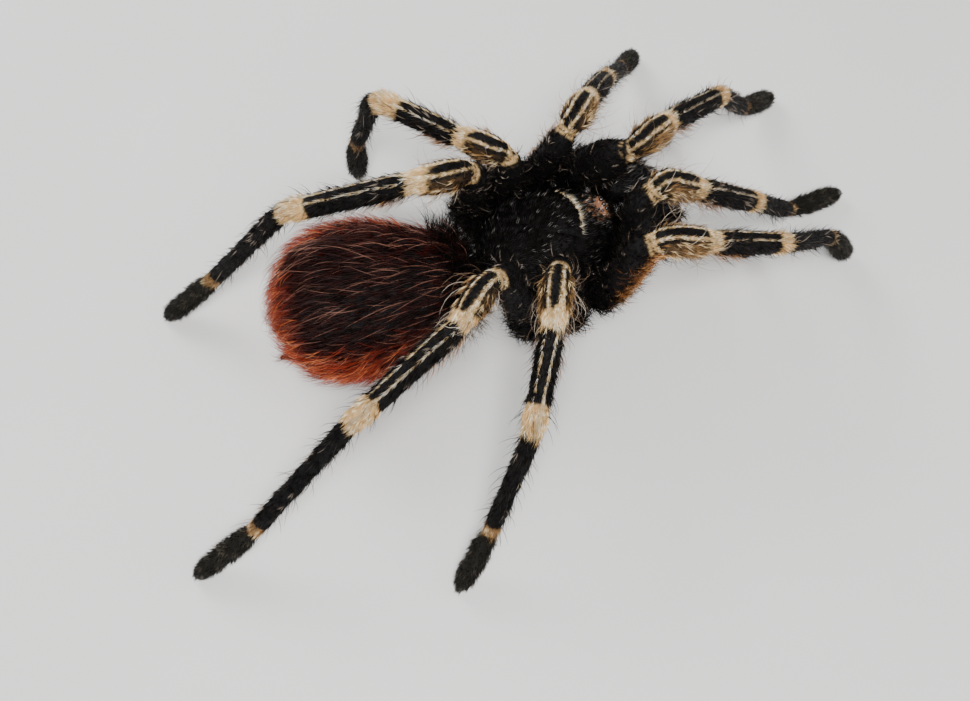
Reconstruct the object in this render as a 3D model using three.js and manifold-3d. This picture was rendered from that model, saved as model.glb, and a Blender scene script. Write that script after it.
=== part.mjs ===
// A tarantula at life size, standing still with its knees drawn up over the body.
// Millimetres, +Z up. The head points along -Y, and the animal's left is +X.
// The solids reach out to the tips of the coat, and single hairs are not modelled here.

import * as THREE from 'three';
import { mergeVertices } from 'three/addons/utils/BufferGeometryUtils.js';
import Module from 'manifold-3d';

const wasm = await Module();
wasm.setup();

// ---------------------------------------------------------------- driving dimensions

const jointGap = 0.3;            // clear space at every cut between two pieces
const hipPlane = 13.2;           // height of the middle of the hip ring
const trunkPitch = 5;            // degrees, head end up

const carapace = {
  length: 23, width: 18.4, frontTaper: 0.2, endRounding: 0.85,
  rimBottom: 1.5, rimTop: 2.1, dome: 4.5, domeFlatness: 2.4, domeEdge: 0.55,
  headBump: 1.3, headForward: 4.5, headSpread: [4.4, 5.2],
  pitDepth: 0.55, pitForward: -2.0, pitSpread: [2.6, 1.8],
};
const tubercle = { forward: 9.0, length: 2.2, width: 3.4, height: 1.5, sink: 1.2 };
// Each row is a pair of eyes: its radius, and its place from the middle of the mound.
const eyeRows = [
  { radius: 0.36, side: 0.42, ahead: 0.45, lift: 1.24 },
  { radius: 0.3, side: 1.12, ahead: 0.62, lift: 0.7 },
  { radius: 0.26, side: 1.26, ahead: -0.18, lift: 0.72 },
  { radius: 0.22, side: 0.84, ahead: -0.55, lift: 0.92 },
];
const sternum = {
  length: 11, width: 8.6, thickness: 1.6, bottom: -5.4, forward: -0.6, taper: 0.22, bulge: 0.7,
};
const core = { front: 10.6, rear: 8.6, halfWidth: 4.2, bottom: -3.5, top: 1.2 };
const pedicel = { radius: 1.7, waist: 0.8, start: 8.9, length: 3.0, rise: -0.6 };
const abdomen = {
  length: 32, width: 27.5, height: 22.5, turn: 12, start: 12.4, centreHeight: 13,
  rearBulge: 0.16, roundness: 0.92, frontBluntness: 0.34,
};
const chelicera = {
  side: 2.95, radius: 2.75, start: 11.95, reach: 8.2, height: 2.6, drop: 5.2,
  places: [0, 0.3, 0.65, 0.9, 1], shares: [0.86, 1, 1, 0.86, 0.6],
};
const fang = { radius: 1.05, tip: 0.25, length: 7.4, slope: -62, curl: 78, inset: 0.2, back: 0.6 };
const spinneret = {
  side: 2.0, radius: 1.05, place: 140, splay: 0.12,
  lengths: [0.8, 1.3, 1.1, 0.9], slopes: [-51, -16, 4, 18], shares: [1, 1, 1, 0.8, 0.4],
};

// Coat-tip radii along each part of a limb, from its near end to its far end.
const girth = {
  coxa: [1.7, 2.3, 2.6],
  femur: [2.5, 2.75, 2.75, 2.7, 2.4],
  patella: [2.4, 2.9, 2.95, 2.75, 2.3],
  tibia: [2.25, 2.45, 2.3, 2.35, 2.15],
  metatarsus: [2.0, 1.95, 1.8, 1.85, 1.8],
  tarsus: [1.8, 2.05, 2.1, 2.05, 1.9],
};
const palpGirth = 0.8;           // a feeler's radii as a share of a leg's
const footPress = 0.35;          // how far the floor presses a foot's rounded sole flat
const footRounding = [[2.0, 1], [0.9, 0.86], [0.25, 0.6], [0, 0.34]];   // distance back, share of radius
const trochanter = { length: 2.4, rise: 40 };
const jointEase = { lead: 0.8, sweep: 1.15 };   // how far before its joint a limb starts to bend
const limbSides = 10;

const segmentNames = ['femur', 'patella', 'tibia', 'metatarsus', 'tarsus'];

// One row for each pair of legs. A coxa runs from the sternum's edge to the hip, both given
// as [to the side, forward, up]. A turn is the heading of each segment in degrees from
// straight ahead towards the leg's own side, and a rise is its slope. The tarsus has no
// rise of its own, because it always comes down to the floor.
const legPairs = [
  {
    name: 'leg_1', root: [4.7, 5.6, -2.6], hip: [9.9, 9.6, 0], lengths: [20, 11.5, 17, 17, 11],
    left: { turn: [-77, 26, 22, 24, 20], rise: [58, -19, -27, -52] },
    right: { turn: [-73, 5, 1, -14, -1], rise: [82, -35, -42, -49] },
  },
  {
    name: 'leg_2', root: [5.2, 1.9, -2.6], hip: [12, 4, 0], lengths: [18.5, 11, 15.5, 16.5, 10.5],
    left: { turn: [-76, 43, 45, 45, 42], rise: [72, -21, -38, -43] },
    right: { turn: [37, 11, 6, -11, 4], rise: [76, -25, -29, -39] },
  },
  {
    name: 'leg_3', root: [5.2, -1.9, -2.6], hip: [12.9, -2.2, 0], lengths: [17, 9.5, 15, 18.5, 10.5],
    left: { turn: [-93, 124, 126, 111, 118], rise: [69, -8, 0, -70] },
    right: { turn: [206, 120, 127, 147, 150], rise: [80, -8, -25, -54] },
  },
  {
    name: 'leg_4', root: [4.6, -5.6, -2.6], hip: [11.4, -8.3, 0], lengths: [21.5, 9.5, 20, 24.5, 12],
    left: { turn: [-106, 177, 156, 154, 172], rise: [72, 12, -20, -55] },
    right: { turn: [186, 156, 165, 172, 176], rise: [76, -30, -16, -42] },
  },
];
const palpPair = {
  name: 'palp', root: [3.5, 8.9, -3.0], hip: [6.6, 13.8, -1.2], lengths: [9.5, 6, 7.5, 7],
  left: { turn: [22, 40, 34, 30], rise: [12, -30, -62] },
  right: { turn: [30, -8, -14, -18], rise: [12, -30, -62] },
};

const colours = {
  blackCoat: new THREE.MeshStandardMaterial({ color: 0x15110f, roughness: 0.85 }),
  shell: new THREE.MeshStandardMaterial({ color: 0x17130f, roughness: 0.7 }),
  creamCoat: new THREE.MeshStandardMaterial({ color: 0xb89a72, roughness: 0.9 }),
  redCoat: new THREE.MeshStandardMaterial({ color: 0x3a1713, roughness: 0.95 }),
  brownCoat: new THREE.MeshStandardMaterial({ color: 0x2b1c14, roughness: 0.9 }),
  fang: new THREE.MeshStandardMaterial({ color: 0x0d0a09, roughness: 0.25 }),
  eye: new THREE.MeshStandardMaterial({ color: 0x1c1512, roughness: 0.15 }),
};
const segmentColours = {
  femur: colours.blackCoat,
  patella: colours.creamCoat,
  tibia: colours.blackCoat,
  metatarsus: colours.blackCoat,
  tarsus: colours.brownCoat,
};

// ---------------------------------------------------------------- small helpers

const radians = THREE.MathUtils.degToRad;
const vector = (x, y, z) => new THREE.Vector3(x, y, z);

/** Adds a named piece to a group. */
function addPiece(group, name, geometry, material) {
  const mesh = new THREE.Mesh(geometry, material);
  mesh.name = name;
  group.add(mesh);
  return mesh;
}

/** The value of an evenly spaced list at a share t from its first to its last entry. */
function along(values, t) {
  const place = THREE.MathUtils.clamp(t, 0, 1) * (values.length - 1);
  const first = Math.min(Math.floor(place), values.length - 2);
  return THREE.MathUtils.lerp(values[first], values[first + 1], place - first);
}

/** A closed body from rings of equal length: sides between rings, and a fan at each end. */
function closedRings(rings) {
  const sides = rings[0].length;
  const positions = rings.flat().flatMap((point) => point.toArray());
  const index = [];
  for (let ring = 0; ring + 1 < rings.length; ring += 1) {
    for (let side = 0; side < sides; side += 1) {
      const a = ring * sides + side;
      const b = ring * sides + ((side + 1) % sides);
      index.push(a, b, a + sides, b, b + sides, a + sides);
    }
  }
  const ends = [{ ring: 0, turn: -1 }, { ring: rings.length - 1, turn: 1 }];
  for (const { ring, turn } of ends) {
    const middle = positions.length / 3;
    const centre = rings[ring].reduce((sum, point) => sum.add(point), vector(0, 0, 0));
    positions.push(...centre.divideScalar(sides).toArray());
    for (let side = 0; side < sides; side += 1) {
      const a = ring * sides + side;
      const b = ring * sides + ((side + 1) % sides);
      index.push(...(turn > 0 ? [a, b, middle] : [b, a, middle]));
    }
  }
  const geometry = new THREE.BufferGeometry();
  geometry.setAttribute('position', new THREE.Float32BufferAttribute(positions, 3));
  geometry.setIndex(index);
  return geometry;
}

/** A round tube along a bent line, mitred at each bend. Each point has its own radius. */
function bentTube(points, radii, sides = limbSides, lowest = -Infinity) {
  const runs = points.slice(1).map((point, i) => point.clone().sub(points[i]).normalize());
  let across = vector(0, 0, 1).cross(runs[0]).normalize();
  const rings = points.map((point, i) => {
    const before = runs[Math.max(i - 1, 0)];
    const after = runs[Math.min(i, runs.length - 1)];
    const cut = before.clone().add(after).normalize();
    const swing = new THREE.Quaternion().setFromUnitVectors(before, after);
    across = across.clone().applyQuaternion(swing);
    const upward = after.clone().cross(across);
    return Array.from({ length: sides }, (_, side) => {
      const angle = (2 * Math.PI * side) / sides;
      const offset = across.clone().multiplyScalar(Math.cos(angle) * radii[i]);
      offset.addScaledVector(upward, Math.sin(angle) * radii[i]);
      const slide = -offset.dot(cut) / after.dot(cut);
      const vertex = point.clone().add(offset).addScaledVector(after, slide);
      vertex.z = Math.max(vertex.z, lowest);
      return vertex;
    });
  });
  return closedRings(rings);
}

/** A body between a top and a bottom surface over one outline, closed by a low wall. */
function domedBody(outline, top, bottom, sectors, steps) {
  const rings = [];
  const ringAt = (share, surface) => Array.from({ length: sectors }, (_, sector) => {
    const { x, y } = outline((2 * Math.PI * sector) / sectors);
    return vector(x * share, y * share, surface(x * share, y * share, share));
  });
  for (let step = 1; step <= steps; step += 1) {
    rings.push(ringAt(step / steps, bottom));
  }
  for (let step = steps; step >= 1; step -= 1) {
    rings.push(ringAt(step / steps, top));
  }
  return closedRings(rings);
}

/** A closed geometry as a solid for joining and cutting. */
function toSolid(geometry) {
  const bare = geometry.clone();
  bare.deleteAttribute('normal');
  bare.deleteAttribute('uv');
  const merged = mergeVertices(bare, 1e-4);
  return new wasm.Manifold(new wasm.Mesh({
    numProp: 3,
    vertProperties: new Float32Array(merged.attributes.position.array),
    triVerts: new Uint32Array(merged.index.array),
  }));
}

/** A joined or cut solid as a geometry again. */
function fromSolid(solid) {
  const mesh = solid.getMesh();
  const geometry = new THREE.BufferGeometry();
  geometry.setAttribute('position', new THREE.Float32BufferAttribute(mesh.vertProperties, 3));
  geometry.setIndex(Array.from(mesh.triVerts));
  return geometry;
}

// ---------------------------------------------------------------- trunk

/** The carapace's outline, with the angle counted from straight ahead. */
function carapaceOutline(angle) {
  const ahead = Math.cos(angle);
  const x = (carapace.width / 2) * Math.sin(angle) * (1 - carapace.frontTaper * ahead);
  const y = (-carapace.length / 2) * Math.sign(ahead) * Math.abs(ahead) ** carapace.endRounding;
  return { x, y };
}

/** A smooth round swelling, 1 in the middle and fading out past a distance of 1. */
const swell = (x, y) => Math.exp(-(x ** 2) - y ** 2);

/** Height of the carapace's back: a dome, a raised head region and the pit behind it. */
function carapaceTop(x, y, share) {
  const { headSpread, pitSpread, domeFlatness, domeEdge } = carapace;
  const dome = carapace.dome * (1 - Math.min(share, 1) ** domeFlatness) ** domeEdge;
  const head = swell(x / headSpread[0], (y + carapace.headForward) / headSpread[1]);
  const pit = swell(x / pitSpread[0], (y + carapace.pitForward) / pitSpread[1]);
  return carapace.rimTop + dome + carapace.headBump * head - carapace.pitDepth * pit;
}

function makeCarapace() {
  return domedBody(carapaceOutline, carapaceTop, () => carapace.rimBottom, 28, 6);
}

/** The eye mound with its eight eyes, trimmed to stand on the carapace. */
function makeTubercle(carapaceGeometry) {
  const seat = carapaceTop(0, -tubercle.forward, tubercle.forward / (carapace.length / 2));
  const mound = new THREE.SphereGeometry(1, 16, 10);
  mound.scale(tubercle.width / 2, tubercle.length / 2, tubercle.height + tubercle.sink);
  mound.translate(0, -tubercle.forward, seat - tubercle.sink);
  let solid = toSolid(mound);
  for (const row of eyeRows) {
    for (const hand of [-1, 1]) {
      const eye = new THREE.SphereGeometry(row.radius, 8, 6);
      eye.translate(hand * row.side, -tubercle.forward - row.ahead, seat + row.lift);
      solid = solid.add(toSolid(eye));
    }
  }
  const cutter = carapaceGeometry.clone().translate(0, 0, jointGap);
  const below = toSolid(cutter).add(toSolid(carapaceGeometry));
  return fromSolid(solid.subtract(below));
}

/** The sternum's shield outline, pointed to the rear. */
function sternumOutline(angle) {
  const ahead = Math.cos(angle);
  const x = (sternum.width / 2) * Math.sin(angle) * (1 + sternum.taper * ahead);
  return { x, y: (-sternum.length / 2) * ahead - sternum.forward };
}

function makeSternum() {
  const bulge = (x, y, share) => sternum.bottom + sternum.bulge * share ** 2;
  return domedBody(sternumOutline, () => sternum.bottom + sternum.thickness, bulge, 20, 3);
}

/** The block of flesh between the carapace and the sternum that the limbs grow from. */
function makeCore() {
  const outline = (angle) => ({
    x: core.halfWidth * Math.sin(angle),
    y: Math.cos(angle) > 0 ? -core.front * Math.cos(angle) : -core.rear * Math.cos(angle),
  });
  return domedBody(outline, () => core.top, () => core.bottom, 20, 2);
}

function makePedicel() {
  const start = vector(0, pedicel.start, pedicel.rise);
  const end = vector(0, pedicel.start + pedicel.length, pedicel.rise);
  const middle = start.clone().lerp(end, 0.5);
  const radii = [1, pedicel.waist, 1].map((share) => share * pedicel.radius);
  return bentTube([start, middle, end], radii);
}

/** A lobe of the jaw, from below the carapace's front edge forward and down. */
function makeChelicera(hand) {
  const { side, radius, start, reach, height, drop, places, shares } = chelicera;
  const points = places.map((t) => vector(
    hand * side,
    -start - reach * Math.sin(t * Math.PI * 0.5),
    height - drop * (1 - Math.cos(t * Math.PI * 0.5)),
  ));
  return bentTube(points, shares.map((share) => share * radius), 12);
}

/** A fang, hinged at the end of its chelicera and folded back beneath it. */
function makeFang(hand) {
  const hinge = vector(
    hand * (chelicera.side - fang.inset),
    -chelicera.start - chelicera.reach + fang.back,
    chelicera.height - chelicera.drop - jointGap - fang.radius * 0.65,
  );
  const steps = 6;
  const points = [hinge];
  for (let step = 0; step < steps; step += 1) {
    const slope = radians(fang.slope + (fang.curl * step) / steps);
    const run = vector(0, Math.cos(slope), Math.sin(slope)).multiplyScalar(fang.length / steps);
    points.push(points[step].clone().add(run));
  }
  const radii = points.map((_, i) => fang.radius * (1 - (i / steps) ** 1.4) + fang.tip);
  return bentTube(points, radii, 8);
}

// ---------------------------------------------------------------- abdomen

/** How far back the abdomen's outline is, at an angle from its front end round to its rear. */
const abdomenReach = (angle) => (abdomen.length / 2) * (1 - Math.cos(angle));

/** The abdomen's width there, as a share of its full width. */
function abdomenShare(angle) {
  const fullness = 1 - abdomen.rearBulge * Math.cos(angle);
  const power = abdomen.roundness - abdomen.frontBluntness * Math.max(Math.cos(angle), 0);
  return Math.max(Math.sin(angle), 0) ** power * fullness;
}

/** The ovoid abdomen, lying along its own axis with the origin at its front end. */
function makeAbdomen() {
  const stations = 13;
  const profile = Array.from({ length: stations + 1 }, (_, i) => {
    const angle = (Math.PI * i) / stations;
    const radius = i === 0 || i === stations ? 0 : (abdomenShare(angle) * abdomen.width) / 2;
    return new THREE.Vector2(radius, abdomenReach(angle));
  });
  const geometry = new THREE.LatheGeometry(profile, 24);
  geometry.scale(1, 1, abdomen.height / abdomen.width);
  return geometry;
}

/** A spinneret as one finger that leaves the underside of the abdomen and bends to the rear. */
function makeSpinneret(hand) {
  const angle = radians(spinneret.place);
  const across = (2 * spinneret.side) / abdomen.width;
  const drop = (abdomen.height / 2) * Math.sqrt(abdomenShare(angle) ** 2 - across ** 2) + jointGap;
  const points = [vector(hand * spinneret.side, abdomenReach(angle), -drop)];
  spinneret.lengths.forEach((length, i) => {
    const slope = radians(spinneret.slopes[i]);
    const run = vector(hand * spinneret.splay, Math.cos(slope), Math.sin(slope));
    points.push(points[i].clone().addScaledVector(run, length));
  });
  return bentTube(points, spinneret.shares.map((share) => share * spinneret.radius), 8);
}

// ---------------------------------------------------------------- limbs

/** A unit vector from a heading (degrees from straight ahead to the limb's side) and a slope. */
function heading(hand, turn, rise) {
  return vector(
    hand * Math.sin(radians(turn)) * Math.cos(radians(rise)),
    -Math.cos(radians(turn)) * Math.cos(radians(rise)),
    Math.sin(radians(rise)),
  );
}

/** How far a sloping foot's lowest point lies below the end of its middle line. */
function soleDepth(slope, share) {
  const radius = share * girth.tarsus.at(-1);
  const depths = footRounding.map(([distance, part]) => (
    part * radius * Math.cos(slope) - distance * share * Math.sin(slope)
  ));
  return Math.max(...depths);
}

/** The slope in degrees that brings a tarsus from its near joint down to the floor. */
function fallToFloor(height, length, share) {
  let slope = 0;
  for (let round = 0; round < 5; round += 1) {
    slope = Math.asin((height - soleDepth(slope, share) + footPress) / length);
  }
  return -THREE.MathUtils.radToDeg(slope);
}

/** Joint places of a limb, from the hip to the tip of the tarsus. */
function limbJoints(pair, pose, hand, hip, share) {
  const joints = [hip];
  pair.lengths.forEach((length, i) => {
    const last = joints[i];
    const rise = i < pose.rise.length ? pose.rise[i] : fallToFloor(last.z, length, share);
    joints.push(last.clone().addScaledVector(heading(hand, pose.turn[i], rise), length));
  });
  return joints;
}

/** How a joint is rounded: where its bend starts and ends, and the cut in the middle. */
function roundedJoint(before, joint, after, radius) {
  const into = joint.clone().sub(before).normalize();
  const out = after.clone().sub(joint).normalize();
  const bend = into.angleTo(out);
  const swing = (radius * Math.tan(bend / 4)) / Math.cos(bend / 2);
  const reach = jointEase.lead + jointEase.sweep * swing;
  const start = joint.clone().addScaledVector(into, -reach);
  const end = joint.clone().addScaledVector(out, reach);
  const cut = start.clone().lerp(end, 0.5);
  const across = end.clone().sub(start).normalize().multiplyScalar(jointGap / 2);
  return { start, end, nearCut: cut.clone().sub(across), farCut: cut.clone().add(across) };
}

/** All pieces of one limb as [name, points, radii] rows. */
function limbRows(names, joints, root, hand, share) {
  const bends = joints.slice(1, -1).map((joint, i) => {
    const radius = share * girth[names[i]].at(-1);
    return roundedJoint(joints[i], joint, joints[i + 2], radius);
  });
  return names.map((name, i) => {
    const near = i === 0 ? joints[0] : bends[i - 1].end;
    const tip = i === names.length - 1 ? joints.at(-1) : null;
    const back = tip ? near.clone().sub(tip).normalize() : null;
    const far = tip ? tip.clone().addScaledVector(back, footRounding[0][0] * share) : bends[i].start;
    const points = i === 0 ? [] : [bends[i - 1].farCut];
    const radii = i === 0 ? [] : [share * girth[name][0]];
    const inner = near.distanceTo(far) > 6 ? [0, 0.3, 0.7] : [0, 0.5];
    for (const t of inner) {
      points.push(near.clone().lerp(far, t));
      radii.push(share * along(girth[name], 0.1 + 0.8 * t));
    }
    if (tip) {
      for (const [distance, part] of footRounding) {
        points.push(tip.clone().addScaledVector(back, distance * share));
        radii.push(share * girth[name].at(-1) * part);
      }
    } else {
      points.push(far, bends[i].nearCut);
      radii.push(share * along(girth[name], 0.9), share * girth[name].at(-1));
    }
    if (i === 0) {
      const outward = joints[0].clone().sub(root).setZ(0).normalize();
      outward.multiplyScalar(Math.cos(radians(trochanter.rise)));
      outward.z = Math.sin(radians(trochanter.rise));
      const coxaEnd = joints[0].clone().addScaledVector(outward, -trochanter.length * share);
      points.unshift(root, root.clone().lerp(coxaEnd, 0.5), coxaEnd);
      radii.unshift(...girth.coxa.map((radius) => radius * share));
    }
    return { name, points, radii };
  });
}

/** Both limbs of a pair. The far limb mirrors the near one but keeps its own pose. */
function addLimbPair(group, trunk, pair, names, share) {
  for (const [side, hand] of [['left', 1], ['right', -1]]) {
    const place = ([out, ahead, up]) => trunk.localToWorld(vector(hand * out, -ahead, up));
    const root = place(pair.root);
    const joints = limbJoints(pair, pair[side], hand, place(pair.hip), share);
    for (const row of limbRows(names, joints, root, hand, share)) {
      const lowest = row.name === 'tarsus' ? 0 : -Infinity;
      const geometry = bentTube(row.points, row.radii, limbSides, lowest);
      addPiece(group, `${pair.name}_${side}_${row.name}`, geometry, segmentColours[row.name]);
    }
  }
}

// ---------------------------------------------------------------- assembly

const animal = new THREE.Group();

const trunk = new THREE.Group();
trunk.position.z = hipPlane;
trunk.rotation.x = -radians(trunkPitch);
animal.add(trunk);

const carapaceGeometry = makeCarapace();
addPiece(trunk, 'carapace', carapaceGeometry, colours.shell);
addPiece(trunk, 'eye_tubercle', makeTubercle(carapaceGeometry), colours.eye);
addPiece(trunk, 'sternum', makeSternum(), colours.blackCoat);
addPiece(trunk, 'prosoma_core', makeCore(), colours.brownCoat);
addPiece(trunk, 'pedicel', makePedicel(), colours.brownCoat);
for (const [side, hand] of [['left', 1], ['right', -1]]) {
  addPiece(trunk, `chelicera_${side}`, makeChelicera(hand), colours.blackCoat);
  addPiece(trunk, `fang_${side}`, makeFang(hand), colours.fang);
}
trunk.updateMatrixWorld(true);

const rear = new THREE.Group();
rear.position.set(0, abdomen.start, abdomen.centreHeight);
rear.rotation.z = -radians(abdomen.turn);
animal.add(rear);
addPiece(rear, 'abdomen', makeAbdomen(), colours.redCoat);
for (const [side, hand] of [['left', 1], ['right', -1]]) {
  addPiece(rear, `spinneret_${side}`, makeSpinneret(hand), colours.brownCoat);
}

for (const pair of legPairs) {
  addLimbPair(animal, trunk, pair, segmentNames, 1);
}
const palpNames = segmentNames.filter((name) => name !== 'metatarsus');
addLimbPair(animal, trunk, palpPair, palpNames, palpGirth);

// The origin goes to the middle of the footprint, at floor level.
animal.updateMatrixWorld(true);
const box = new THREE.Box3().setFromObject(animal, true);
const model = new THREE.Group();
model.add(animal);
animal.position.set(-(box.min.x + box.max.x) / 2, -(box.min.y + box.max.y) / 2, -box.min.z);

export default model;
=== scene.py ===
"""Skin, coat and finish of a black tarantula with cream-striped knees, standing with its knees drawn up.

One skin runs under the whole animal, inside the solids by the depth of its coat, and the coat grows
on it as solid tufts. The carapace, sternum, fangs, claws, eye mound and eyes are pieces of their own.
"""

import math
from dataclasses import dataclass, replace
from types import SimpleNamespace

import bmesh
import bpy
import numpy as np
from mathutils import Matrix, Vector
from mathutils.kdtree import KDTree

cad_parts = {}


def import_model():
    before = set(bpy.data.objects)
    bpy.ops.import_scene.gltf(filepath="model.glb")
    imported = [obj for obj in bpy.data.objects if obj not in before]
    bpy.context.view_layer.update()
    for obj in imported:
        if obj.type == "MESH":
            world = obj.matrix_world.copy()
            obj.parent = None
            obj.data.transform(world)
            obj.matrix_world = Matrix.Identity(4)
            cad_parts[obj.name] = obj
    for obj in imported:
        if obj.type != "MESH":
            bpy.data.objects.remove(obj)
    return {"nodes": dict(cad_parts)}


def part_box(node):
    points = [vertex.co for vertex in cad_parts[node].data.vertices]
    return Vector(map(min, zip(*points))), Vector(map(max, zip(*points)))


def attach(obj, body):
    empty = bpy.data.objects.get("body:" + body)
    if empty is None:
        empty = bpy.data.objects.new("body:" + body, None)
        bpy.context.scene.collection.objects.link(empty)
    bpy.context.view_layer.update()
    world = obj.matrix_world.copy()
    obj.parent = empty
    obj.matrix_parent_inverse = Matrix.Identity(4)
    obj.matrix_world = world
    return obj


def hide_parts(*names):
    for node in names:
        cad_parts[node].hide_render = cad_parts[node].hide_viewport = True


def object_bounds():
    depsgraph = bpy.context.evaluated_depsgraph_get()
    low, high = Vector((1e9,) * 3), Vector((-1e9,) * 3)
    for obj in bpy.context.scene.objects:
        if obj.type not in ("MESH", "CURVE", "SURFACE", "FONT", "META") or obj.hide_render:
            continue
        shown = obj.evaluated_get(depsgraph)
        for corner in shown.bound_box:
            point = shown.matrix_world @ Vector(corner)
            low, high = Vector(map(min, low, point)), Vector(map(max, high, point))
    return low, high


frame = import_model()
cad_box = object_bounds()

# ---------------- sizes, in metres

MM = 0.001
WELD = 2e-6                    # corners of a solid nearer than this are one
SKIN_GRID = 0.41 * MM          # width of the skin's faces
LINE_STEP = 0.4 * MM           # spacing along the middle line of a limb
CURVE_STEPS = 16               # places on the curve from one ring of a solid to the next
TUBE_SIDES = 20
TUBE_WIDTH = 0.96              # a limb's width as a share of the solid's, less its coat
TUBE_HEIGHT = 1.05             # and its height
JAW_WIDTH = 1.14               # the jaws lie close together, so their skin is wider
JOINT_PINCH = 0.3 * MM         # how much narrower a limb is at a joint
PINCH_REACH = 0.8 * MM
BLUR = 5                       # how many radii along a limb are averaged
THINNEST = 0.1 * MM
COXA_RINGS = 3                 # rings of a limb's first solid that belong to its coxa
FLAT_ENOUGH = math.radians(50)     # triangles of a solid this level with each other form one face
SQUARE_ENOUGH = math.radians(60)   # if its corners are this near to square
CORE_SWELL = 2.2 * MM          # how far the chest's flesh swells out of its solid, between the leg bases
BODY_REACH = 1.6 * MM          # a place further than this from a body isn't on its surface
RELAX_SHARES = (0.55, -0.5)    # each round draws the skin together and lets it out again
RELAX_ROUNDS = 6
FLOOR_GAP = 0.18 * MM          # bare skin stays this far above the floor
HAIR_FLOOR = 0.02 * MM         # and hairs bend along it at this height
PATCH = 0.003                  # width of one tuft's patch on the flat map
SPINNERET_ROOT = 2.6 * MM      # how far a spinneret runs on inside the abdomen
WAIST_DEPTH = 0.35             # depth of the abdomen's coat at its front end, as a share of the rest
WAIST_REACH = 9 * MM

COAT_DEPTH = {
    "coxa": 0.45 * MM, "femur": 0.62 * MM, "patella": 0.66 * MM, "tibia": 0.66 * MM,
    "metatarsus": 0.58 * MM, "tarsus": 0.52 * MM, "chelicera": 0.45 * MM,
    "spinneret": 0.18 * MM, "pedicel": 0.35 * MM, "core": 0.3 * MM, "abdomen": 1.7 * MM,
}
CODE = {kind: code for code, kind in enumerate(COAT_DEPTH)}
SEGMENTS = ["femur", "patella", "tibia", "metatarsus", "tarsus"]
LIMBS = [f"leg_{pair}_{side}" for pair in (1, 2, 3, 4) for side in ("left", "right")]
LIMBS += [f"palp_{side}" for side in ("left", "right")]
LEGS = 8                       # legs come before feelers, in pairs from the front, left before right
SECOND_LEGS = (2, 3)
HIND_LEGS = (4, 5, 6, 7)
FLESH = [name for name in frame["nodes"] if name.startswith(("leg_", "palp_", "chelicera_", "spinneret_"))]
FLESH += ["pedicel", "prosoma_core", "abdomen"]

UP = np.array([0.0, 0.0, 1.0])


# ---------------- small helpers

def unit(vectors):
    """Vectors scaled to a length of one."""
    length = np.linalg.norm(vectors, axis=-1, keepdims=True)
    return vectors / np.maximum(length, 1e-12)


def level_with(vectors, normals):
    """Directions laid flat on a surface with these normals."""
    return unit(vectors - normals * (vectors * normals).sum(-1, keepdims=True))


def run_along(points):
    """How far along a line each of its points lies."""
    return np.concatenate([[0], np.cumsum(np.linalg.norm(np.diff(points, axis=0), axis=1))])


def fade(value, start, end):
    """A soft step from 0 at start to 1 at end."""
    share = np.clip((value - start) / (end - start), 0, 1)
    return share * share * (3 - 2 * share)


def bump_at(value, middle, reach):
    """A soft rise to 1 at middle that has gone at a distance of reach."""
    return 1 - fade(np.abs(value - middle), 0, reach)


def add_object(name, held):
    """A new object at the origin, for a mesh, a light or a camera."""
    piece = bpy.data.objects.new(name, held)
    bpy.context.scene.collection.objects.link(piece)
    return piece


def mesh_object(name, places, faces):
    """A new mesh object with smooth faces."""
    mesh = bpy.data.meshes.new(name)
    mesh.from_pydata([tuple(place) for place in places], [], [tuple(face) for face in faces])
    mesh.update()
    mesh.polygons.foreach_set("use_smooth", [True] * len(mesh.polygons))
    return add_object(name, mesh)


def shell_object(name, shell):
    """A new mesh object from a bmesh, which is freed."""
    mesh = bpy.data.meshes.new(name)
    shell.to_mesh(mesh)
    shell.free()
    return add_object(name, mesh)


def baked_copy(piece, name):
    """The object with its modifiers applied, as a new plain mesh object; the first one is deleted."""
    bpy.context.view_layer.update()
    graph = bpy.context.evaluated_depsgraph_get()
    mesh = bpy.data.meshes.new_from_object(piece.evaluated_get(graph), depsgraph=graph)
    remove_object(piece)
    mesh.name = name
    return add_object(name, mesh)


def remove_object(piece):
    """Deletes an object and its mesh."""
    mesh = piece.data
    bpy.data.objects.remove(piece)
    bpy.data.meshes.remove(mesh)


def fix_normals(piece):
    """Turns every face of an object's mesh outwards."""
    shell = bmesh.new()
    shell.from_mesh(piece.data)
    bmesh.ops.recalc_face_normals(shell, faces=shell.faces)
    shell.to_mesh(piece.data)
    shell.free()
    return piece


def add_body(corners, faces, more_corners, more_faces):
    """Adds the corners and faces of one body to those of a piece."""
    base = len(corners)
    corners += more_corners
    faces += [tuple(base + corner for corner in face) for face in more_faces]


def values_of(rows, field, width=1, kind=np.int32):
    """One field of all corners, edges or faces of a mesh."""
    found = np.empty(len(rows) * width, kind)
    rows.foreach_get(field, found)
    return found


def places_of(mesh):
    """The corners of a mesh as an array of rows."""
    return values_of(mesh.vertices, "co", 3, np.float32).reshape(-1, 3).astype(float)


def normals_of(mesh):
    """The normal at each corner of a mesh."""
    return values_of(mesh.vertex_normals, "vector", 3, np.float32).reshape(-1, 3).astype(float)


def set_places(mesh, places):
    """Moves the corners of a mesh to new places."""
    mesh.vertices.foreach_set("co", places.astype(np.float32).ravel())
    mesh.update()


def sink_surface(mesh, depth):
    """Moves every corner of a mesh inwards by a depth, or by one depth for each corner."""
    set_places(mesh, places_of(mesh) - normals_of(mesh) * np.reshape(depth, (-1, 1)))


def put_attribute(mesh, name, kind, domain, values):
    """Stores numbers, vectors or colours on a mesh under a name."""
    held = mesh.attributes.new(name, kind, domain)
    field = {"FLOAT": "value", "FLOAT_VECTOR": "vector", "FLOAT_COLOR": "color"}[kind]
    held.data.foreach_set(field, np.ascontiguousarray(values, np.float32).ravel())


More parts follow.
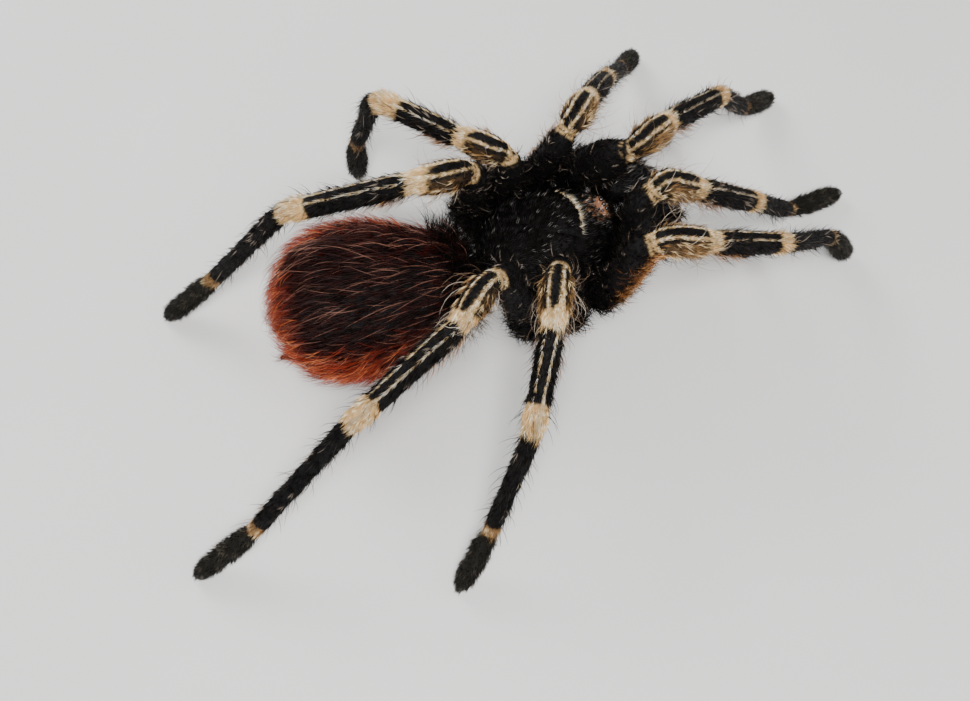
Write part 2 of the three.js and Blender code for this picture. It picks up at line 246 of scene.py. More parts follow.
def drop_attributes(mesh, *names):
    """Removes those of the named attributes that a mesh has."""
    for name in names:
        if name in mesh.attributes:
            mesh.attributes.remove(mesh.attributes[name])


# ---------------- middle lines of the solids

def merged(node):
    """A solid's mesh with its doubles joined."""
    shell = bmesh.new()
    shell.from_mesh(frame["nodes"][node].data)
    bmesh.ops.remove_doubles(shell, verts=shell.verts, dist=WELD)
    return shell


def shell_of(node):
    """A solid's corners, the neighbours of each, and those corners that have the most neighbours."""
    shell = merged(node)
    shell.verts.index_update()
    places = np.array([corner.co[:] for corner in shell.verts])
    near = [[edge.other_vert(corner).index for edge in corner.link_edges] for corner in shell.verts]
    shell.free()
    most = max(len(around) for around in near)
    hubs = [corner for corner, around in enumerate(near) if len(around) == most]
    return places, near, hubs


def rings_of(node, start):
    """Middles and radii of the rings along a tube-shaped solid, from its end nearest to start."""
    places, near, ends = shell_of(node)
    first = min(ends, key=lambda corner: np.linalg.norm(places[corner] - start))
    seen = {first}
    ring = [first]
    middles = []
    radii = []
    while ring:
        ring = sorted({other for corner in ring for other in near[corner]} - seen)
        seen.update(ring)
        if len(ring) > 1:
            middles.append(places[ring].mean(0))
            radii.append(np.linalg.norm(places[ring] - middles[-1], axis=1).mean())
    return middles, radii


def node_middle(node):
    """The middle of a solid's box."""
    low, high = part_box(node)
    return np.array((low + high) / 2)


def smooth_line(points, values):
    """A smooth line through points, resampled at LINE_STEP, with each point's values carried along."""
    points = np.array(points)
    values = np.array(values)
    slopes = np.gradient(points, axis=0)
    gaps = np.linalg.norm(np.diff(points, axis=0), axis=1)
    fine_points = []
    fine_values = []
    for i, gap in enumerate(gaps):
        start_slope = unit(slopes[i]) * gap
        end_slope = unit(slopes[i + 1]) * gap
        t = np.linspace(0, 1, CURVE_STEPS, endpoint=i == len(gaps) - 1)[:, None]
        fine_points.append(
            (2 * t**3 - 3 * t**2 + 1) * points[i] + (t**3 - 2 * t**2 + t) * start_slope
            + (3 * t**2 - 2 * t**3) * points[i + 1] + (t**3 - t**2) * end_slope
        )
        fine_values.append(values[i] + (values[i + 1] - values[i]) * t)
    line = np.concatenate(fine_points)
    carried = np.concatenate(fine_values)
    run = run_along(line)
    count = max(4, round(run[-1] / LINE_STEP))
    steps = np.linspace(0, run[-1], count + 1)
    line = np.stack([np.interp(steps, run, line[:, axis]) for axis in range(3)], 1)
    carried = np.stack([np.interp(steps, run, column) for column in carried.T], 1)
    return line, carried, steps


def make_tube(name, kinds, middles, radii, places):
    """A tube through the middles and radii of a coat, with places that count its segments."""
    line, carried, run = smooth_line(middles, np.stack([radii, places], 1))
    coat, place = carried.T
    part = np.clip(np.floor(place + 1e-6).astype(int), 0, len(kinds) - 1)
    joints = np.interp(np.arange(len(kinds) + 1), place, run)
    depth = np.array([COAT_DEPTH[kind] for kind in kinds])[part]
    inner = joints[1:-1]
    gap = np.abs(run[:, None] - inner).min(1) if len(inner) else np.full(len(run), np.inf)
    radius = coat - depth - JOINT_PINCH * np.exp(-((gap / PINCH_REACH) ** 2))
    padded = np.pad(radius, BLUR // 2, mode="edge")
    return SimpleNamespace(
        name=name, line=line, run=run, ahead=unit(np.gradient(line, axis=0)), coat=coat,
        radius=np.maximum(np.convolve(padded, np.full(BLUR, 1 / BLUR), "valid"), THINNEST),
        near=run - joints[part], far=joints[part + 1] - run, length=joints[part + 1] - joints[part],
        kind=np.array([CODE[kind] for kind in kinds])[part],
    )


def set_tops(tube, first):
    """The upper side along a tube: upright from sample first on, and turned without twist before it."""
    tops = unit(UP - tube.ahead * (tube.ahead @ UP)[:, None])
    for i in range(first - 1, -1, -1):
        back = tube.ahead[i]
        tops[i] = unit(tops[i + 1] - back * (tops[i + 1] @ back))
    tube.top = tops
    tube.side = np.cross(tube.ahead, tops)
    return tube


def limb_tube(limb):
    """The middle line and skin radius of one limb, from the sternum to the tip of the tarsus."""
    names = [name for name in SEGMENTS if f"{limb}_{name}" in frame["nodes"]]
    start = node_middle("sternum")
    rows = []
    for number, name in enumerate(names):
        middles, radii = rings_of(f"{limb}_{name}", start)
        run = run_along(middles)
        begin = COXA_RINGS if number == 0 else 0
        places = number + 1 + (run - run[begin]) / (run[-1] - run[begin])
        if begin:
            places[:begin] = run[:begin] / run[begin]
        more = list(zip(middles, radii, places))
        if rows:
            last = rows.pop()
            first = more.pop(0)
            rows.append(((last[0] + first[0]) / 2, (last[1] + first[1]) / 2, float(number + 1)))
        rows += more
        start = middles[-1]
    tube = make_tube(limb, ["coxa", *names], *zip(*rows))
    return set_tops(tube, int(np.argmax(tube.kind == CODE["patella"])))


def plain_tube(node, kind, start, root=0.0):
    """The middle line and skin radius of a solid with one segment, begun a length of root before it."""
    middles, radii = rings_of(node, start)
    if root:
        middles.insert(0, middles[0] - unit(middles[1] - middles[0]) * root)
        radii.insert(0, radii[0])
    run = run_along(middles)
    return set_tops(make_tube(node, [kind], middles, radii, run / run[-1]), 0)


def ring_faces(rings):
    """Corners and faces of rings of equal length joined to a closed body."""
    count, sides = rings.shape[:2]
    faces = []
    for ring in range(count - 1):
        for side in range(sides):
            a = ring * sides + side
            b = ring * sides + (side + 1) % sides
            faces.append((a, b, b + sides, a + sides))
    faces.append(tuple(reversed(range(sides))))
    faces.append(tuple(range((count - 1) * sides, count * sides)))
    return [tuple(place) for place in rings.reshape(-1, 3)], faces


def tube_mesh(tube, wide=TUBE_WIDTH, high=TUBE_HEIGHT):
    """Corners and faces of a tube's skin, closed at both ends."""
    angles = np.arange(TUBE_SIDES) * 2 * math.pi / TUBE_SIDES
    across = tube.side[:, None] * np.sin(angles)[None, :, None] * wide
    upward = tube.top[:, None] * np.cos(angles)[None, :, None] * high
    rings = tube.line[:, None] + (across + upward) * tube.radius[:, None, None]
    rings[..., 2] = np.maximum(rings[..., 2], FLOOR_GAP)
    return ring_faces(rings)


def smooth_shell(name, node, depth, rounds=2):
    """A rounded body inside a solid, by the depth of its coat."""
    shell = merged(node)
    bmesh.ops.join_triangles(
        shell, faces=shell.faces, angle_face_threshold=FLAT_ENOUGH, angle_shape_threshold=SQUARE_ENOUGH
    )
    bmesh.ops.recalc_face_normals(shell, faces=shell.faces)
    for face in shell.faces:
        face.smooth = True
    cage = shell_object(name, shell)
    drop_attributes(cage.data, "custom_normal")
    cage.modifiers.new("round", "SUBSURF").levels = rounds
    body = baked_copy(cage, name)
    sink_surface(body.data, depth)
    return body


# ---------------- frames of the trunk and abdomen

def read_trunk():
    """The trunk's middle and directions, from the carapace, jaws and waist."""
    places, _, hubs = shell_of("carapace")
    low, high = sorted((places[hub] for hub in hubs), key=lambda place: place[2])
    up = unit(high - low)
    jaws = (node_middle("chelicera_left") + node_middle("chelicera_right")) / 2
    ahead = jaws - node_middle("pedicel")
    ahead = unit(ahead - up * (ahead @ up))
    return SimpleNamespace(middle=low, up=up, ahead=ahead, side=np.cross(up, ahead))


def read_abdomen():
    """The abdomen's axis, from its narrow front end to its rear end."""
    middles, _ = rings_of("abdomen", node_middle("pedicel"))
    front, rear = middles[0], middles[-1]
    axis = unit(rear - front)
    top = unit(UP - axis * (axis @ UP))
    return SimpleNamespace(
        front=front, axis=axis, top=top, side=np.cross(axis, top),
        length=np.linalg.norm(rear - front), middle=node_middle("abdomen"),
    )


def in_frame(places, axes):
    """Places as (to the side, ahead, up) rows in the trunk's own directions."""
    offset = places - axes.middle
    return np.stack([offset @ axes.side, offset @ axes.ahead, offset @ axes.up], 1)


# ---------------- the skin

def read_tubes():
    """The middle lines of every limb, jaw, spinneret and the waist."""
    head = node_middle("sternum")
    tubes = [limb_tube(limb) for limb in LIMBS]
    for hand in ("left", "right"):
        tubes.append(plain_tube(f"chelicera_{hand}", "chelicera", head))
        tubes.append(plain_tube(f"spinneret_{hand}", "spinneret", node_middle("abdomen"), SPINNERET_ROOT))
    tubes.append(plain_tube("pedicel", "pedicel", head))
    return tubes


def relax(mesh):
    """Evens out the steps of a voxel mesh without shrinking it."""
    places = places_of(mesh)
    a, b = values_of(mesh.edges, "vertices", 2).reshape(-1, 2).T
    count = np.bincount(np.concatenate([a, b]), minlength=len(places))[:, None]
    for share in RELAX_SHARES * RELAX_ROUNDS:
        total = np.zeros_like(places)
        np.add.at(total, a, places[b])
        np.add.at(total, b, places[a])
        places += (total / np.maximum(count, 1) - places) * share
    set_places(mesh, places)


def build_skin(tubes, abdomen):
    """One closed skin over limbs, jaws, trunk and abdomen, with no seams between them."""
    belly = smooth_shell("abdomen_flesh", "abdomen", 0)
    rearward = (places_of(belly.data) - abdomen.front) @ abdomen.axis
    share = WAIST_DEPTH + (1 - WAIST_DEPTH) * fade(rearward, 0, WAIST_REACH)
    sink_surface(belly.data, share * COAT_DEPTH["abdomen"])
    bodies = [belly, smooth_shell("core_flesh", "prosoma_core", -CORE_SWELL)]
    forms = [(places_of(body.data), normals_of(body.data)) for body in bodies]
    for tube in tubes:
        wide = JAW_WIDTH if tube.kind[0] == CODE["chelicera"] else TUBE_WIDTH
        bodies.append(mesh_object(tube.name, *tube_mesh(tube, wide)))
    joined = bmesh.new()
    for body in bodies:
        joined.from_mesh(body.data)
        remove_object(body)
    flesh = shell_object("flesh", joined)
    grid = flesh.modifiers.new("grid", "REMESH")
    grid.mode = "VOXEL"
    grid.voxel_size = SKIN_GRID
    grid.use_smooth_shade = True
    skin = baked_copy(flesh, "skin")
    relax(skin.data)
    return skin, forms


def nearest(places, points):
    """Which of some points is nearest to each place, and how far off it is."""
    tree = KDTree(len(points))
    for i, point in enumerate(points):
        tree.insert(point, i)
    tree.balance()
    found = [tree.find(place)[1:] for place in places]
    return np.array([index for index, _ in found]), np.array([distance for _, distance in found])


def nearest_parts(places, tubes, forms):
    """For each place, the tube sample that it lies on, and its gaps to the skins of tubes and bodies."""
    radii = np.concatenate([tube.radius for tube in tubes])
    sample, distance = nearest(places, np.concatenate([tube.line for tube in tubes]))
    gaps = [np.abs(distance - radii[sample])]
    for body_places, body_normals in forms:
        index, distance = nearest(places, body_places)
        level = np.abs(((places - body_places[index]) * body_normals[index]).sum(1))
        gaps.append(np.where(distance < BODY_REACH, level, distance))
    return sample, gaps


def survey(skin, tubes, forms, trunk, abdomen):
    """What each corner of the skin belongs to, and its place and directions there."""
    places = places_of(skin.data)
    sample, (gap, abdomen_gap, core_gap) = nearest_parts(places, tubes, forms)
    at = {
        key: np.concatenate([getattr(tube, key) for tube in tubes])[sample]
        for key in ("line", "ahead", "top", "side", "radius", "near", "far", "length", "run", "kind")
    }
    owner = np.concatenate([np.full(len(tube.line), i) for i, tube in enumerate(tubes)])
    offset = places - at["line"]
    slide = (offset * at["ahead"]).sum(1)
    turn = np.arctan2((offset * at["side"]).sum(1), (offset * at["top"]).sum(1))
    data = SimpleNamespace(
        places=places, normals=normals_of(skin.data), owner=owner[sample], turn=turn, radius=at["radius"],
        near=at["near"] + slide, far=at["far"] - slide, run=at["run"] + slide,
        kind=at["kind"], lie=at["ahead"],
    )
    data.share = np.clip(data.near / at["length"], 0, 1)
    on_abdomen = (abdomen_gap < gap) & (abdomen_gap <= core_gap)
    on_core = (core_gap < gap) & ~on_abdomen
    rear = places - abdomen.front
    around = np.arctan2(rear @ abdomen.side, (places - abdomen.middle) @ abdomen.top)
    data.kind[on_abdomen] = CODE["abdomen"]
    data.turn[on_abdomen] = around[on_abdomen]
    data.run[on_abdomen] = (rear @ abdomen.axis)[on_abdomen]
    data.share[on_abdomen] = np.clip(data.run / abdomen.length, 0, 1)[on_abdomen]
    data.lie[on_abdomen] = abdomen.axis
    data.kind[on_core] = CODE["core"]
    local = in_frame(places, trunk)
    data.turn[on_core] = np.arctan2(local[:, 0], local[:, 2])[on_core]
    data.run[on_core] = local[on_core, 1]
    data.lie[on_core] = -trunk.up
    data.lie = level_with(data.lie, data.normals)
    data.arc = np.abs(data.turn) * data.radius
    return data


def forward_turn(data):
    """How far round its limb a corner lies, counted from the top towards the side that faces ahead."""
    return data.turn * np.where(data.owner % 2 == 0, 1, -1)


def on(data, *kinds):
    """1 where a corner belongs to one of these kinds of part, and 0 elsewhere."""
    return np.isin(data.kind, [CODE[kind] for kind in kinds]).astype(float)


# ---------------- the unwrap of the skin

MAP_LENGTH = 132 * MM          # the length of limb that would fill the flat map from edge to edge
COLUMNS = 10                   # a strip for each leg, one for both feelers, and one for the rest
COLUMN_FILL = 0.94
STRIP_GAP = 0.006
UPPER_LEVEL = 0.745            # the abdomen's and the chest's strips start above the limbs'
BELLY_WIDTH = 0.68
CHEST_START = 0.72
MAP_EDGE = 0.002


def unwrap_rows(data, tubes):
    """Each corner's place on the flat map: limbs, jaws and spinnerets in strips, the trunk above them."""
    across = data.turn / (2 * math.pi) + 0.5
    rows = np.zeros((len(across), 2))
    levels = [STRIP_GAP] * COLUMNS
    for number, tube in enumerate(tubes):
        column = min(number, COLUMNS - 2) if number < len(LIMBS) else COLUMNS - 1
        mine = data.owner == number
        rows[mine, 0] = (column + across[mine] * COLUMN_FILL) / COLUMNS
        rows[mine, 1] = levels[column] + data.run[mine] / MAP_LENGTH
        levels[column] += tube.run[-1] / MAP_LENGTH + STRIP_GAP
    belly = data.kind == CODE["abdomen"]
    rows[belly, 0] = across[belly] * BELLY_WIDTH
    rows[belly, 1] = UPPER_LEVEL + data.run[belly] / MAP_LENGTH
    core = data.kind == CODE["core"]
    rows[core, 0] = CHEST_START + across[core] * (1 - CHEST_START - STRIP_GAP)
    rows[core, 1] = UPPER_LEVEL + (data.run[core] - data.run[core].min()) / MAP_LENGTH
    return np.clip(rows, MAP_EDGE, 1 - MAP_EDGE)


def put_unwrap(mesh, rows, turns):
    """Stores the flat map on a mesh, keeping each face whole where the strip's edge runs through it."""
    corners = values_of(mesh.loops, "vertex_index")
    starts = values_of(mesh.polygons, "loop_start")
    totals = values_of(mesh.polygons, "loop_total")
    first = np.repeat(corners[starts], totals)
    found = rows[corners].copy()
    lone = np.abs(turns[corners] - turns[first]) > math.pi
    found[lone] = rows[first][lone]
    layer = mesh.uv_layers.new(name="OFBake")
    layer.data.foreach_set("uv", found.astype(np.float32).ravel())
    flat = np.concatenate([found, np.zeros((len(found), 1))], 1)
    put_attribute(mesh, "root_at", "FLOAT_VECTOR", "CORNER", flat)


# ---------------- markings, for skin and coat alike

OUTSIDE = -2 * MM              # how far outside a marking every other part counts as
SEAM = 0.3 * MM                # dark crease at a knee, on each side of the joint
DARK_BACK_ROLL = -0.15         # how far round the abdomen its dark back is turned, in radians
UNDERSIDE = 1.9                # how far round a limb the rims and bands of its upper side reach, in radians

# Widths and lengths of the limbs' cream markings, in mm. The third and fourth legs have longer bands,
# and their stripe and line on the fore side are broad.
MARK = SimpleNamespace(
    femur_rim=0.75, knee_rim=0.8, cap=1.9, broad_cap=0.5,
    stripe_off=0.66, stripe_bow=0.36, stripe=0.13, hind_stripe=0.08, stripe_more=0.15, stripe_broad=0.5,
    line_off=0.8, line_draws_in=0.2, line=0.02, line_more=0.02, line_broad=(0.01, 0.26), broad_end=(4, 6.5),
    band=2.7, hind_band=4.2, foot_band=1.0, hind_foot_band=1.9,
)
# The golden flanks of the knees: mm from the knee's top, radians round it, and shares of its length.
FLANK = SimpleNamespace(side=(1.4, 2.1), below=(2.2, 2.8), along=(0.0, 0.35), hind=0.45)
# The red of the abdomen: radians round it, and shares of its length for the sides and the rear.
RED = SimpleNamespace(side=(0.9, 1.4), along=(0.05, 0.4), rear=(0.82, 0.94))


def creams(data):
    """How far inside each cream marking of the limbs a corner lies, and less than 0 outside it.

    The stripes and lines are narrow, so their half width and the way from their middle come apart.
    """
    hind = np.isin(data.owner, HIND_LEGS)
    broad = hind & (forward_turn(data) > 0)
    share = data.share

    def only(kind, reach):
        return np.where(data.kind == CODE[kind], reach, OUTSIDE)

    def between(value, start, end):
        return np.minimum(value - start, end - value)

    stripe_way = data.arc - (MARK.stripe_off + MARK.stripe_bow * np.sin(share * math.pi)) * MM
    stripe_start = np.where(hind, MARK.hind_stripe, MARK.stripe)
    stripe_half = stripe_start + MARK.stripe_more * share + MARK.stripe_broad * share ** 1.5 * broad
    stripe_half = only("patella", stripe_half * MM)
    line_way = data.arc - (MARK.line_off - MARK.line_draws_in * share) * MM
    start, end = MARK.broad_end
    broadest = 1 - fade(data.far, start * MM, end * MM)
    line_half = MARK.line + MARK.line_more * share
    line_half = line_half + (MARK.line_broad[0] + MARK.line_broad[1] * broadest) * broad
    line_half = only("tibia", np.minimum(line_half * MM, data.near - SEAM))
    rims = np.maximum(
        only("femur", between(data.far, SEAM, MARK.femur_rim * MM)),
        only("patella", between(data.near, SEAM, MARK.knee_rim * MM)),
    )
    cap = only("patella", (MARK.cap + MARK.broad_cap * broad) * MM - data.far)
    rim = np.minimum(np.maximum(rims, cap), (UNDERSIDE - np.abs(data.turn)) * data.radius)
    band = only("tibia", np.where(hind, MARK.hind_band, MARK.band) * MM - data.far)
    foot_band = only("metatarsus", np.where(hind, MARK.hind_foot_band, MARK.foot_band) * MM - data.far)
    pale = np.max([stripe_half - np.abs(stripe_way), rim, band], axis=0)
    return SimpleNamespace(
        stripe=stripe_half, stripe_way=stripe_way, line=line_half, line_way=line_way,
        rim=rim, band=band, foot_band=foot_band, pale=pale,
        any=np.max([pale, line_half - np.abs(line_way), foot_band], axis=0),
    )


def flanks(data):
    """Where the knees have their golden side hair, from 0 to 1."""
    start, end = FLANK.side
    aside = fade(data.arc, start * MM, end * MM) * (1 - fade(np.abs(data.turn), *FLANK.below))
    strength = np.where(np.isin(data.owner, HIND_LEGS), FLANK.hind, 1.0)
    return on(data, "patella") * aside * fade(data.share, *FLANK.along) * strength


def red_marks(data):
    """Where the abdomen's coat is red, from 0 to 1: all but its dark back, a little to the right."""
    sides = fade(np.abs(data.turn - DARK_BACK_ROLL), *RED.side) * fade(data.share, *RED.along)
    return on(data, "abdomen") * np.clip(sides + fade(data.share, *RED.rear), 0, 1)


COLOURS = {
    "black": (0.0035, 0.003, 0.003), "cream": (0.72, 0.48, 0.22), "tan": (0.30, 0.17, 0.07),
    "olive": (0.012, 0.011, 0.008), "red": (0.09, 0.009, 0.004), "brown": (0.014, 0.006, 0.004),
}
SOFT_EDGE = 0.15 * MM          # how softly a marking of the skin ends


def skin_colours(data):
    """The skin's own colour at each corner."""
    edges = creams(data)
    layers = [
        (on(data, "tarsus"), "olive", 0.8), (on(data, "core", "pedicel"), "brown", 0.8),
        (on(data, "spinneret"), "red", 0.5),
        (flanks(data), "tan", 0.3), (fade(edges.foot_band, -SOFT_EDGE, SOFT_EDGE), "tan", 0.8),
        (red_marks(data), "red", 0.8), (fade(edges.pale, -SOFT_EDGE, SOFT_EDGE), "cream", 0.6),
    ]
    colour = np.tile(COLOURS["black"], (len(data.kind), 1))
    for cover, name, strength in layers:
        share = (cover * strength)[:, None]
        colour = colour * (1 - share) + np.array(COLOURS[name]) * share
    return np.concatenate([colour, np.ones((len(colour), 1))], 1)


# ---------------- materials

class Graph:
    """The nodes of a material or a node tree, each added, set and wired in one step."""

    def __init__(self, tree):
        self.nodes = tree.nodes
        self.links = tree.links

    def feed(self, inputs, values):
        """Gives each named or numbered input its value, which is another node's output or a plain one."""
        for key, value in values.items():
            if isinstance(value, bpy.types.NodeSocket):
                self.links.new(value, inputs[key])
            else:
                inputs[key].default_value = value

    def add(self, kind, values=None, **settings):
        """The outputs of a new node."""
        node = self.nodes.new(kind)
        for name, setting in settings.items():
            setattr(node, name, setting)
        self.feed(node.inputs, values or {})
        return node.outputs

    def noise(self, scale, detail=3.0, stretch=(1, 1, 1)):
        """Fine noise fixed to the object, scaled in repeats per metre."""
        place = self.add("ShaderNodeTexCoord")["Object"]
        place = self.add("ShaderNodeMapping", {"Vector": place, "Scale": stretch})["Vector"]
        return self.add("ShaderNodeTexNoise", {"Vector": place, "Scale": scale, "Detail": detail})["Fac"]

    def mix(self, share, first, second, blend="MIX"):
        """Mixes two colours, each a socket or a plain colour."""
        colours = [(*value, 1) if isinstance(value, tuple) else value for value in (first, second)]
        values = {0: share, 6: colours[0], 7: colours[1]}
        return self.add("ShaderNodeMix", values, data_type="RGBA", blend_type=blend)[2]

    def spread(self, value, low, high, to_low=0.0, to_high=1.0):
        """Spreads a value from low to high over another range."""
        limits = {"From Min": low, "From Max": high, "To Min": to_low, "To Max": to_high}
        return self.add("ShaderNodeMapRange", {"Value": value, **limits})["Result"]

    def bump(self, height, depth, strength=0.6):
        """A bump from a height value, depth in metres."""
        values = {"Height": height, "Distance": depth, "Strength": strength}
        return self.add("ShaderNodeBump", values)["Normal"]

    def attribute(self, name, output="Fac"):
        """What the mesh holds under a name."""
        return self.add("ShaderNodeAttribute", attribute_name=name)[output]


def new_material(name):
    """A material with a plain principled shader: the material, its graph and the shader's inputs."""
    material = bpy.data.materials.new(name)
    material.use_nodes = True
    return material, Graph(material.node_tree), material.node_tree.nodes["Principled BSDF"].inputs


def skin_material():
    """Dark velvety skin under the coat, with its markings and the fine pile that lies on it."""
    material, graph, shader = new_material("velvet_skin")
    pile = graph.noise(2600, 2.0)
    tone = graph.spread(graph.noise(320), 0.3, 0.7, 0.65, 1.25)
    graph.feed(shader, {
        "Base Color": graph.mix(1.0, graph.attribute("skin_colour", "Color"), tone, "MULTIPLY"),
        "Roughness": graph.spread(pile, 0.3, 0.7, 0.55, 0.85),
        "Normal": graph.bump(pile, 0.12 * MM, 0.8),
        "Specular IOR Level": 0.12,
    })
    return material


def shell_material(name, dark, light, roughness=0.42, shine=0.5):
    """Hard cuticle with fine grain and slightly lighter patches."""
    material, graph, shader = new_material(name)
    grain = graph.noise(2200)
    patches = graph.spread(graph.noise(260, 4.0), 0.35, 0.75)
    graph.feed(shader, {
        "Base Color": graph.mix(patches, dark, light),
        "Roughness": graph.spread(grain, 0.3, 0.7, roughness - 0.1, roughness + 0.15),
        "Normal": graph.bump(grain, 0.05 * MM),
        "Specular IOR Level": shine,
    })
    return material


def hair_material(name, root, tip, pale, glint_share=0.1, shine=0.3, roughness=0.42):
    """Hairs that run from a root colour to a tip colour, with a share of them painted paler towards the tip
    as painted glints, which stand in for highlights on single hairs.
    """
    material, graph, shader = new_material(name)
    height = graph.attribute("tipward")
    tint = graph.attribute("tint")
    body = graph.mix(graph.spread(height, 0.05, 0.9), root, tip)
    body = graph.mix(1.0, body, graph.spread(tint, 0.0, 1.0, 0.6, 1.35), "MULTIPLY")
    # painted glints: a share of the hairs turns paler towards its tip, standing in for highlights
    glint_hairs = graph.spread(tint, 1 - glint_share, min(1.0, 1.02 - glint_share))
    grown = graph.spread(height, 0.1, 0.5)
    glint_part = graph.add("ShaderNodeMath", {0: glint_hairs, 1: grown}, operation="MULTIPLY")["Value"]
    graph.feed(shader, {
        "Base Color": graph.mix(glint_part, body, pale),
        "Roughness": roughness,
        "Specular IOR Level": shine,
    })
    return material


def eye_material():
    """Wet black glass with a faint amber depth."""
    material, graph, shader = new_material("eye_glass")
    depth = graph.spread(graph.noise(900), 0.35, 0.7)
    graph.feed(shader, {
        "Base Color": graph.mix(depth, (0.004, 0.003, 0.003), (0.02, 0.010, 0.005)),
        "Roughness": 0.06,
        "Coat Weight": 1.0,
        "Coat Roughness": 0.03,
    })
    return material


def fang_material():
    """Polished black horn with faint red-brown streaks."""
    material, graph, shader = new_material("fang_horn")
    streaks = graph.noise(700, 3.0, (1, 1, 0.25))
    brown = graph.spread(streaks, 0.4, 0.75)
    graph.feed(shader, {
        "Base Color": graph.mix(brown, (0.006, 0.004, 0.004), (0.05, 0.016, 0.008)),
        "Roughness": graph.spread(streaks, 0.3, 0.7, 0.14, 0.26),
        "Normal": graph.bump(streaks, 0.02 * MM, 0.4),
        "Specular IOR Level": 0.2,
    })
    return material


def floor_material():
    """Pale matt floor with the faintest mottling."""
    material, graph, shader = new_material("pale_floor")
    mottle = graph.spread(graph.noise(18, 2.0), 0.3, 0.7)
    graph.feed(shader, {
        "Base Color": graph.mix(mottle, (0.70, 0.69, 0.67), (0.74, 0.73, 0.71)),
        "Roughness": 0.8,
    })
    return material


# Each kind of hair: the material's name, the colours of the root, the tip and the painted glints (the
# palest hairs, painted paler towards the tip to stand in for highlights), the share of these, and where
# they differ from the rest the shine and the roughness.
HAIRS = {
    "black": (
        "black_coat", (0.001, 0.0008, 0.0007), (0.003, 0.0024, 0.002), (0.03, 0.025, 0.021),
        0.06, 0.06, 0.5,
    ),
    "smoke": ("smoky_hair", (0.003, 0.002, 0.002), (0.020, 0.014, 0.010), (0.40, 0.32, 0.25), 0.13, 0.16),
    "cream": ("cream_hair", (0.56, 0.31, 0.11), (1.0, 0.78, 0.42), (1.0, 0.96, 0.82), 0.36),
    "white": ("white_hair", (0.95, 0.60, 0.28), (1.0, 0.82, 0.50), (1.0, 0.96, 0.78), 0.5),
    "straw": ("straw_hair", (0.50, 0.26, 0.08), (1.0, 0.67, 0.30), (1.0, 0.90, 0.64), 0.26),
    "gold": ("golden_hair", (0.10, 0.045, 0.014), (0.46, 0.25, 0.08), (0.88, 0.66, 0.36), 0.24),
    "foot": ("foot_brush", (0.003, 0.003, 0.002), (0.018, 0.015, 0.010), (0.10, 0.085, 0.06), 0.12, 0.16),
    "rust": ("rust_hair", (0.006, 0.001, 0.0007), (0.070, 0.009, 0.0045), (0.54, 0.25, 0.17), 0.17),
    "dusk": (
        "dusky_pile", (0.0018, 0.0005, 0.0003), (0.006, 0.0009, 0.0005), (0.05, 0.006, 0.003),
        0.12, 0.04, 0.5,
    ),
    "red": ("red_fringe", (0.11, 0.008, 0.003), (0.46, 0.050, 0.012), (0.82, 0.24, 0.085), 0.2),
    "pale": ("pale_hair", (0.10, 0.05, 0.026), (0.50, 0.33, 0.20), (1.0, 0.86, 0.68), 0.3),
    "amber": ("amber_hair", (0.03, 0.009, 0.002), (0.46, 0.15, 0.027), (0.86, 0.44, 0.15), 0.24),
    "ash": ("ash_hair", (0.010, 0.009, 0.009), (0.06, 0.057, 0.055), (0.55, 0.51, 0.46), 0.14),
    "coral": ("coral_hair", (0.20, 0.07, 0.03), (0.66, 0.30, 0.14), (0.95, 0.72, 0.52), 0.3),
}
FINISHES = {key: hair_material(*row) for key, row in HAIRS.items()}


# ---------------- strands and tufts of the coat

ROOT_DEPTH = 0.12 * MM         # how far below the surface a hair starts
TAPER = 0.7                    # below 1 a hair stays thick for longer and ends in a blunter point
TUFT_KINDS = 4                 # how many different tufts a collection holds
LENGTHS = (0.7, 1.1)           # the shortest and longest hair of a tuft, as shares of its length


@dataclass
class Style:
    """How the hairs of a tuft grow, with widths in mm and angles in degrees."""

    hairs: int
    spread: float              # how far apart their roots are
    fan: float                 # and how far apart their headings are
    thickness: float
    lift: float                # how steeply a hair rises at its root
    droop: float               # and at its tip
    bends: int
    curl: float = 12           # how far it swings to the side
    lift_spread: float = 8     # how much its lift and droop differ from these


SHORT = Style(4, 0.16, 14, 0.12, 27, 12, 0)
LYING = Style(3, 0.18, 10, 0.12, 30, 2, 1)
FINE = Style(3, 0.07, 7, 0.1, 20, -2, 0, lift_spread=4)
LONG = Style(1, 0.0, 16, 0.11, 62, 2, 4, curl=26)


def strand_rows(length, thickness, lift, droop, bends, curl, root, heading):
    """Corners, faces and height shares of one hair: a three-sided spike that bends from lift to droop."""
    corners = []
    shares = []
    place = np.array([root[0], root[1], -ROOT_DEPTH])
    previous = 0.0
    for ring in range(bends + 2):
        share = ring / (bends + 1)
        slope = math.radians(lift + (droop - lift) * (share + previous) / 2)
        swing = heading + math.radians(curl) * share
        ahead = np.array([
            math.cos(slope) * math.cos(swing), math.cos(slope) * math.sin(swing), math.sin(slope),
        ])
        place = place + ahead * length * (share - previous)
        previous = share
        across = np.array([-math.sin(swing), math.cos(swing), 0.0])
        upward = np.cross(ahead, across)
        width = thickness / 2 * (1 - share) ** TAPER
        for side in range(3 if ring <= bends else 1):
            angle = math.radians(90 + 120 * side)
            corners.append(place + (across * math.cos(angle) + upward * math.sin(angle)) * width)
            shares.append(share)
    faces = [(0, 1, 2)]
    for ring in range(bends):
        for side in range(3):
            a = ring * 3 + side
            b = ring * 3 + (side + 1) % 3
            faces.append((a, a + 3, b + 3, b))
    tip = len(corners) - 1
    base = bends * 3
    faces += [(base + side, tip, base + (side + 1) % 3) for side in range(3)]
    return corners, faces, shares


